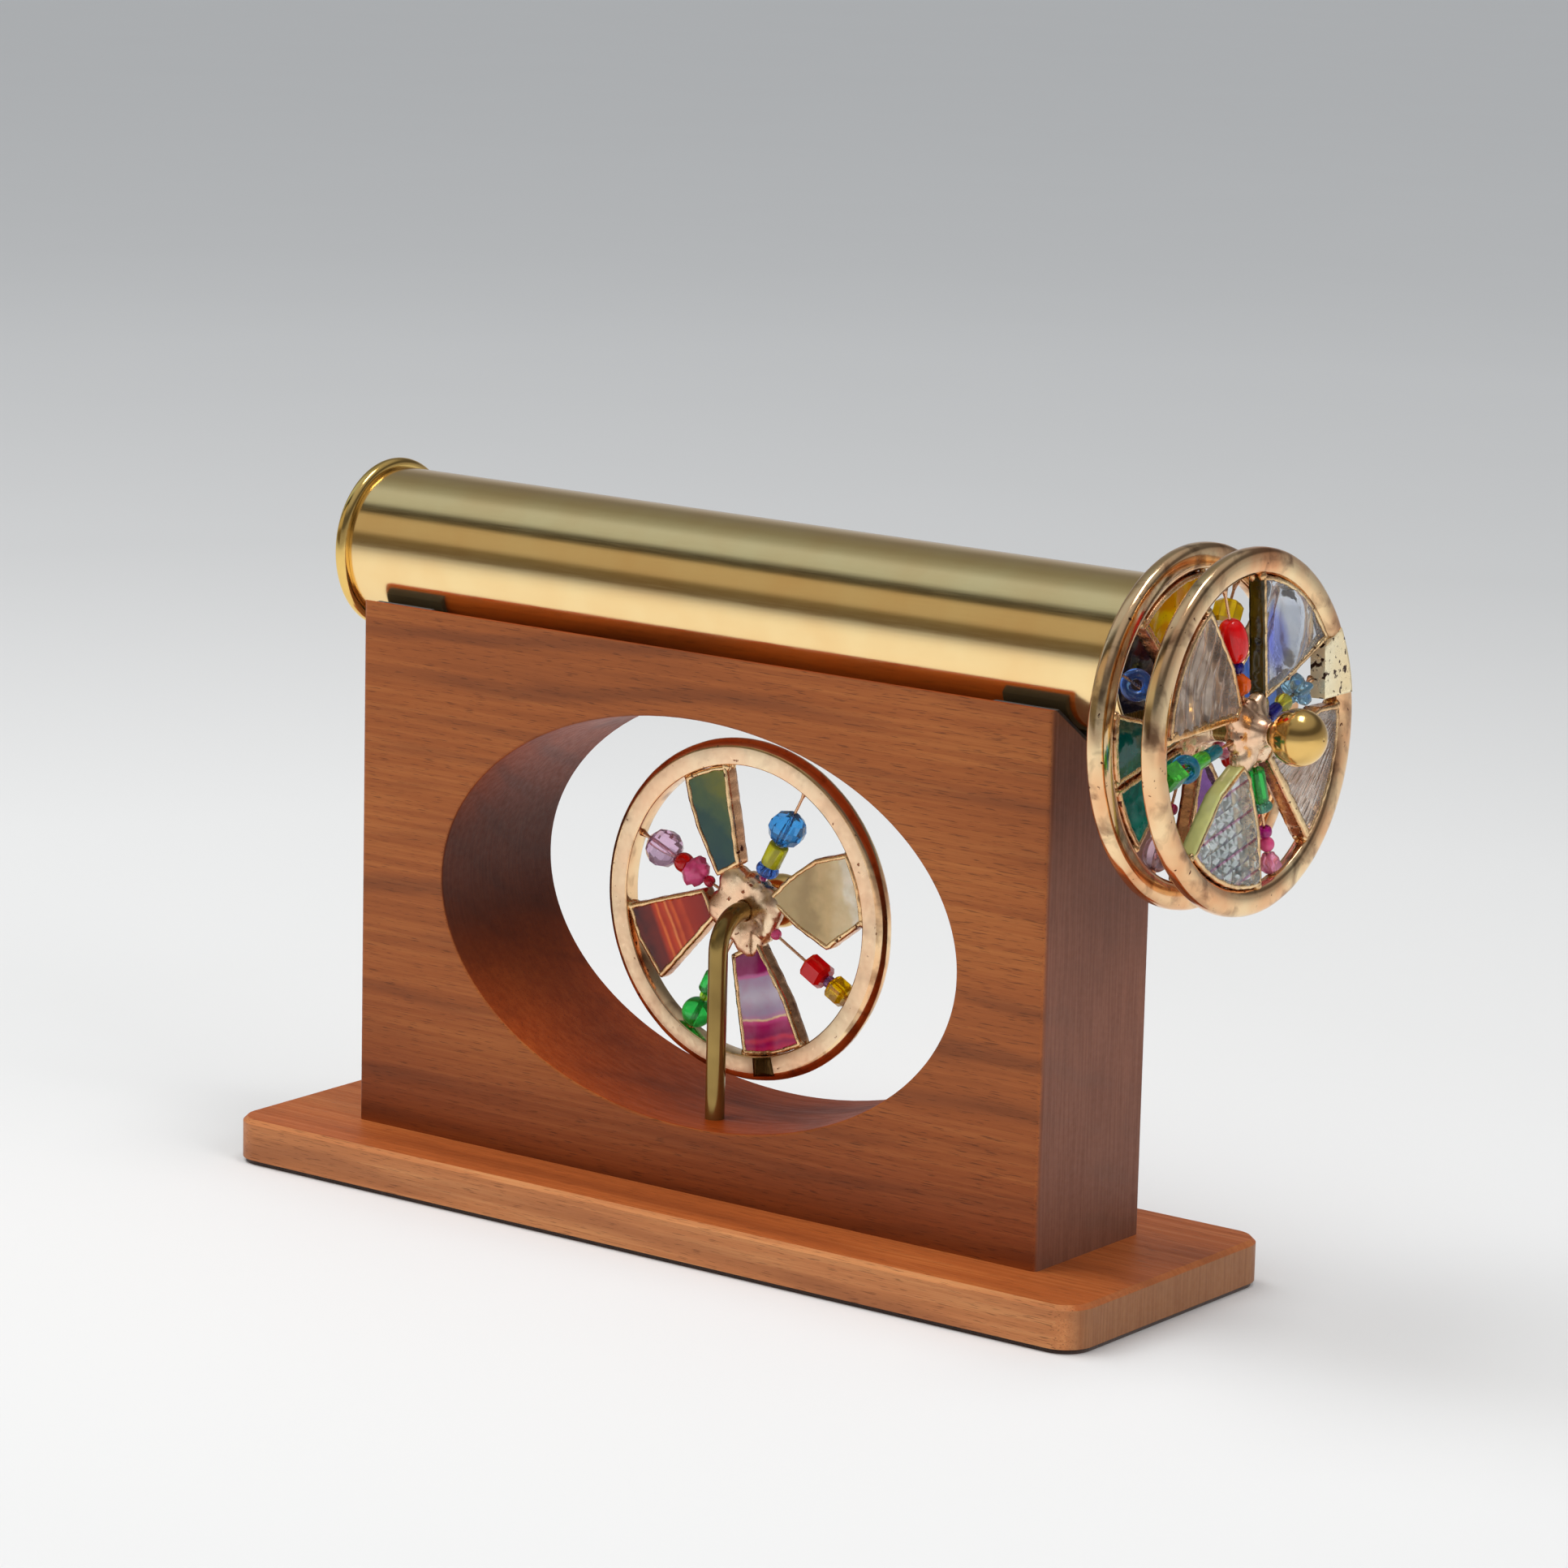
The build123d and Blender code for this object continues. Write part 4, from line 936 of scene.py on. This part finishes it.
for name, facing, half, seed, spread, mouth in wheel_list:
    body = name + "_wheel"
    joint = joints[name + "_wheel_spin"]
    wheel = Place(joint["pos_m"], joint["axis"], facing)
    piece(name + "_plated_rim", rim(wheel, rim_outer, rim_inner, rim_half, seed, name != "display"), body,
          [metals["rim_side"], metals["rim_face"]], [name + "_ring"])
    webs = [web for _, (web, _) in own(panels, name)]
    piece(name + "_solder_hub", solder_hub(wheel, webs, seed, spread, mouth), body, [metals["plated_solder"]],
          [name + "_hub"])
    foil = Soup()
    for number, (node, (web, relief)) in enumerate(own(panels, name)):
        loop, _ = outline(node, wheel)
        turns = [(atan2(v, u) - radians(web) + pi) % (2 * pi) - pi
                 for u, v in loop if hypot(u, v) > rim_touch]
        # solder where the panel's corners meet the rim, on its outer and inner side
        for turn, size in ((max(turns), 1.25), (min(turns), 1.0)):
            lean = turn + radians(web)
            for reach, side, scale, squash in ((35.3, 1, 1, 0.8), (35.1, -1, 1.1, 0.7)):
                blob(foil, wheel, reach * cos(lean), reach * sin(lean), side * 0.6 * half, size * scale,
                     seed + side * turn, squash)
        solder_edge(foil, wheel, loop, half, seed + number * 7, side_mark=bare_sides.get(node),
                    heavy=heavy_sides.get(node))
        cells = (radians(rows_turn), rows_width, rows_pitch) if relief is pyramids else None
        fade = 3.5 if node in heavy_sides else 1.5
        soup = slab(wheel, loop, half, panel_step, relief, lattice=cells, fade=fade)
        piece(node.replace("_panel", "_pane"), soup, body, [panel_glass[node]], [node])
    piece(name + "_solder_foil", foil, body, foil_materials, [name + "_foil"])
    wires = Soup()
    for number, (node, (angle, *beads)) in enumerate(own(strings, name)):
        wire(wires, wheel, angle, wire_start, wire_ends.get(node, rim_inner), seed + number)
        soup = Soup()
        colours = list(dict.fromkeys(bead[4] for bead in beads))
        for kind, place, width, length, colour, *tilt in beads:
            thread_bead(soup, wheel, angle, kind, place, width, length, colours.index(colour), *tilt)
        piece(node.replace("_beads", "_bead_string"), soup, body, [bead_glass[key] for key in colours],
              [node])
    piece(name + "_threading_wires", wires, body, [metals["plated_wire"]],
          [name + "_bead_wires"])
    if name == "front":
        # the plated plate between two panels, its outer edge turned to follow the rim
        loop, top = outline("front_plated_plate", wheel)
        turns = sorted(atan2(v, u) for u, v in loop if hypot(u, v) > rim_touch)
        reach = [(hypot(u, v), atan2(v, u)) for u, v in loop if hypot(u, v) <= rim_touch]
        straight = [(r * cos(a), r * sin(a)) for r, a in sorted(reach, key=lambda place: -place[1])]
        arc = [turns[0] + (turns[-1] - turns[0]) * k / 12 for k in range(13)]
        loop = [(joint_radius * cos(a), joint_radius * sin(a)) for a in arc] + straight
        piece("front_end_plate", slab(wheel, loop, rim_half, 0.8, faint, back=-top), body,
              [metals["plated_plate"]], ["front_plated_plate"])
    if name == "display":
        # the dark joint of the rim's band, a thin patch on the face that the camera sees
        turn, lean, near = radians(259), 0.075, 36.0
        corners = [(r * cos(turn + side), r * sin(turn + side)) for r, side in
                   ((near, -lean), (joint_radius, -lean), (joint_radius, lean), (near, lean))]
        patch = slab(wheel, corners, -2.35, 0.8, flat, back=-2.62)
        piece("display_rim_joint", patch, body, [metals["joint_brass"]], [name + "_ring"])
    if name in knobs:
        knob, node = knobs[name]
        ball(wheel, knob, node + "_polished", node)


# ---------------------------------------------------------------- floor, light and camera
g = Graph("pale_floor", {"Roughness": 0.9, "Specular IOR Level": 0.05})
reach = g.add("ShaderNodeVectorMath", {0: g.coords.outputs["Object"]}, operation="LENGTH")
far = g.range(reach.outputs["Value"], 0.0, 4.0)
grain = g.range(g.noise(0.01, 2.0), 0.3, 0.7, 0.0, 0.02)
# the floor is painted darker away from the object, painted shade for the lights' falloff, and it glows more
# further out, painted light
shade = g.ramp(far, [(0.0, 0.785), (0.06, 0.765), (0.12, 0.73), (0.25, 0.55), (0.5, 0.46), (1.0, 0.41)])
painted_glow = g.ramp(far, [(0.0, 0.0), (0.07, 0.0), (0.14, 0.06), (0.26, 0.17), (0.4, 0.24), (0.62, 0.27),
                    (1.0, 0.29)])
g.set(g.shader, {"Base Color": g.mix(grain, shade, srgb(225, 226, 230)),
                 "Emission Color": srgb(246, 250, 255), "Emission Strength": painted_glow})
# a disc wide enough that its far edge stays behind every view's horizon
floor_reach, floor_sides = 60.0, 96
turns = [2 * pi * k / floor_sides for k in range(floor_sides)]
floor_mesh = bpy.data.meshes.new("floor")
floor_mesh.from_pydata([(floor_reach * cos(a), floor_reach * sin(a), 0) for a in turns], [],
                       [tuple(range(floor_sides))])
floor_mesh.materials.append(g.owner)
floor = bpy.data.objects.new("floor", floor_mesh)
bpy.context.scene.collection.objects.link(floor)

# the tube only mirrors directions that lean to -X, and the wheels also mirror the rest of the room:
# bands goes by degrees from the front over the top to the back, and room by degrees above the horizon
bands = ((0, 0.12, 0.10, 0.07), (17, 0.15, 0.12, 0.07), (23, 0.44, 0.38, 0.27), (48, 0.46, 0.40, 0.28),
         (52, 0.05, 0.045, 0.03), (62, 0.06, 0.06, 0.05), (70, 0.44, 0.52, 0.56), (92, 0.47, 0.55, 0.60),
         (104, 0.30, 0.34, 0.33), (120, 0.21, 0.22, 0.19), (145, 0.18, 0.18, 0.17), (180, 0.5, 0.5, 0.52))
room = ((0, 0.38, 0.38, 0.39), (13, 0.28, 0.27, 0.27), (20, 0.09, 0.085, 0.085), (34, 0.11, 0.105, 0.105),
        (46, 0.34, 0.34, 0.345), (90, 0.43, 0.44, 0.45))
g = Graph("studio", {"Strength": 1.0}, bpy.data.worlds, "Background")
bpy.context.scene.world = g.owner
x, y, z = g.split(g.coords.outputs["Generated"])
over = g.range(g.math("ARCTAN2", z, g.math("MULTIPLY", y, -1.0)), 0.0, pi)
bands = g.ramp(over, [(degrees / 180, tuple(colour) + (1.0,)) for degrees, *colour in bands])
room = g.ramp(z, [(sin(radians(degrees)), tuple(colour) + (1.0,)) for degrees, *colour in room])
g.set(g.shader, {"Color": g.mix(g.range(x, -0.4, -0.15), bands, room)})


def softbox(name, place, target, size, power, seen):
    """An area light aimed at a point; seen says whether polished surfaces reflect it."""
    light = bpy.data.lights.new(name, "AREA")
    light.shape = "RECTANGLE"
    light.size, light.size_y = size
    light.energy = power
    made = bpy.data.objects.new(name, light)
    bpy.context.scene.collection.objects.link(made)
    made.location = place
    made.rotation_mode = "QUATERNION"
    made.rotation_quaternion = (Vector(target) - Vector(place)).to_track_quat("-Z", "Y")
    made.visible_glossy = seen
    made.visible_camera = False


softbox("key", (-0.7, -0.35, 1.5), (0, 0, 0.05), (1.3, 1.3), 19, False)
softbox("fill", (0.3, -1.6, 0.9), (0, 0, 0.1), (1.4, 1.0), 3.0, False)
softbox("side", (1.7, -0.2, 0.9), (0, 0, 0.05), (1.2, 1.2), 15, False)
softbox("top", (0.25, 0.1, 1.4), (0.05, 0, 0.1), (0.5, 0.3), 4, True)

lens = bpy.data.cameras.new("camera")
lens.lens = 137.01
lens.sensor_width = 36.0
lens.clip_start, lens.clip_end = 0.05, 30.0
camera = bpy.data.objects.new("camera", lens)
bpy.context.scene.collection.objects.link(camera)
camera.matrix_world = Matrix((
    (0.80052625, -0.14012065, 0.58268682, 0.84266),
    (0.59884204, 0.14912017, -0.78686173, -1.12145),
    (0.02336522, 0.97884083, 0.20328474, 0.39987),
    (0, 0, 0, 1)))
bpy.context.scene.camera = camera
bpy.context.scene.view_settings.view_transform = "Standard"
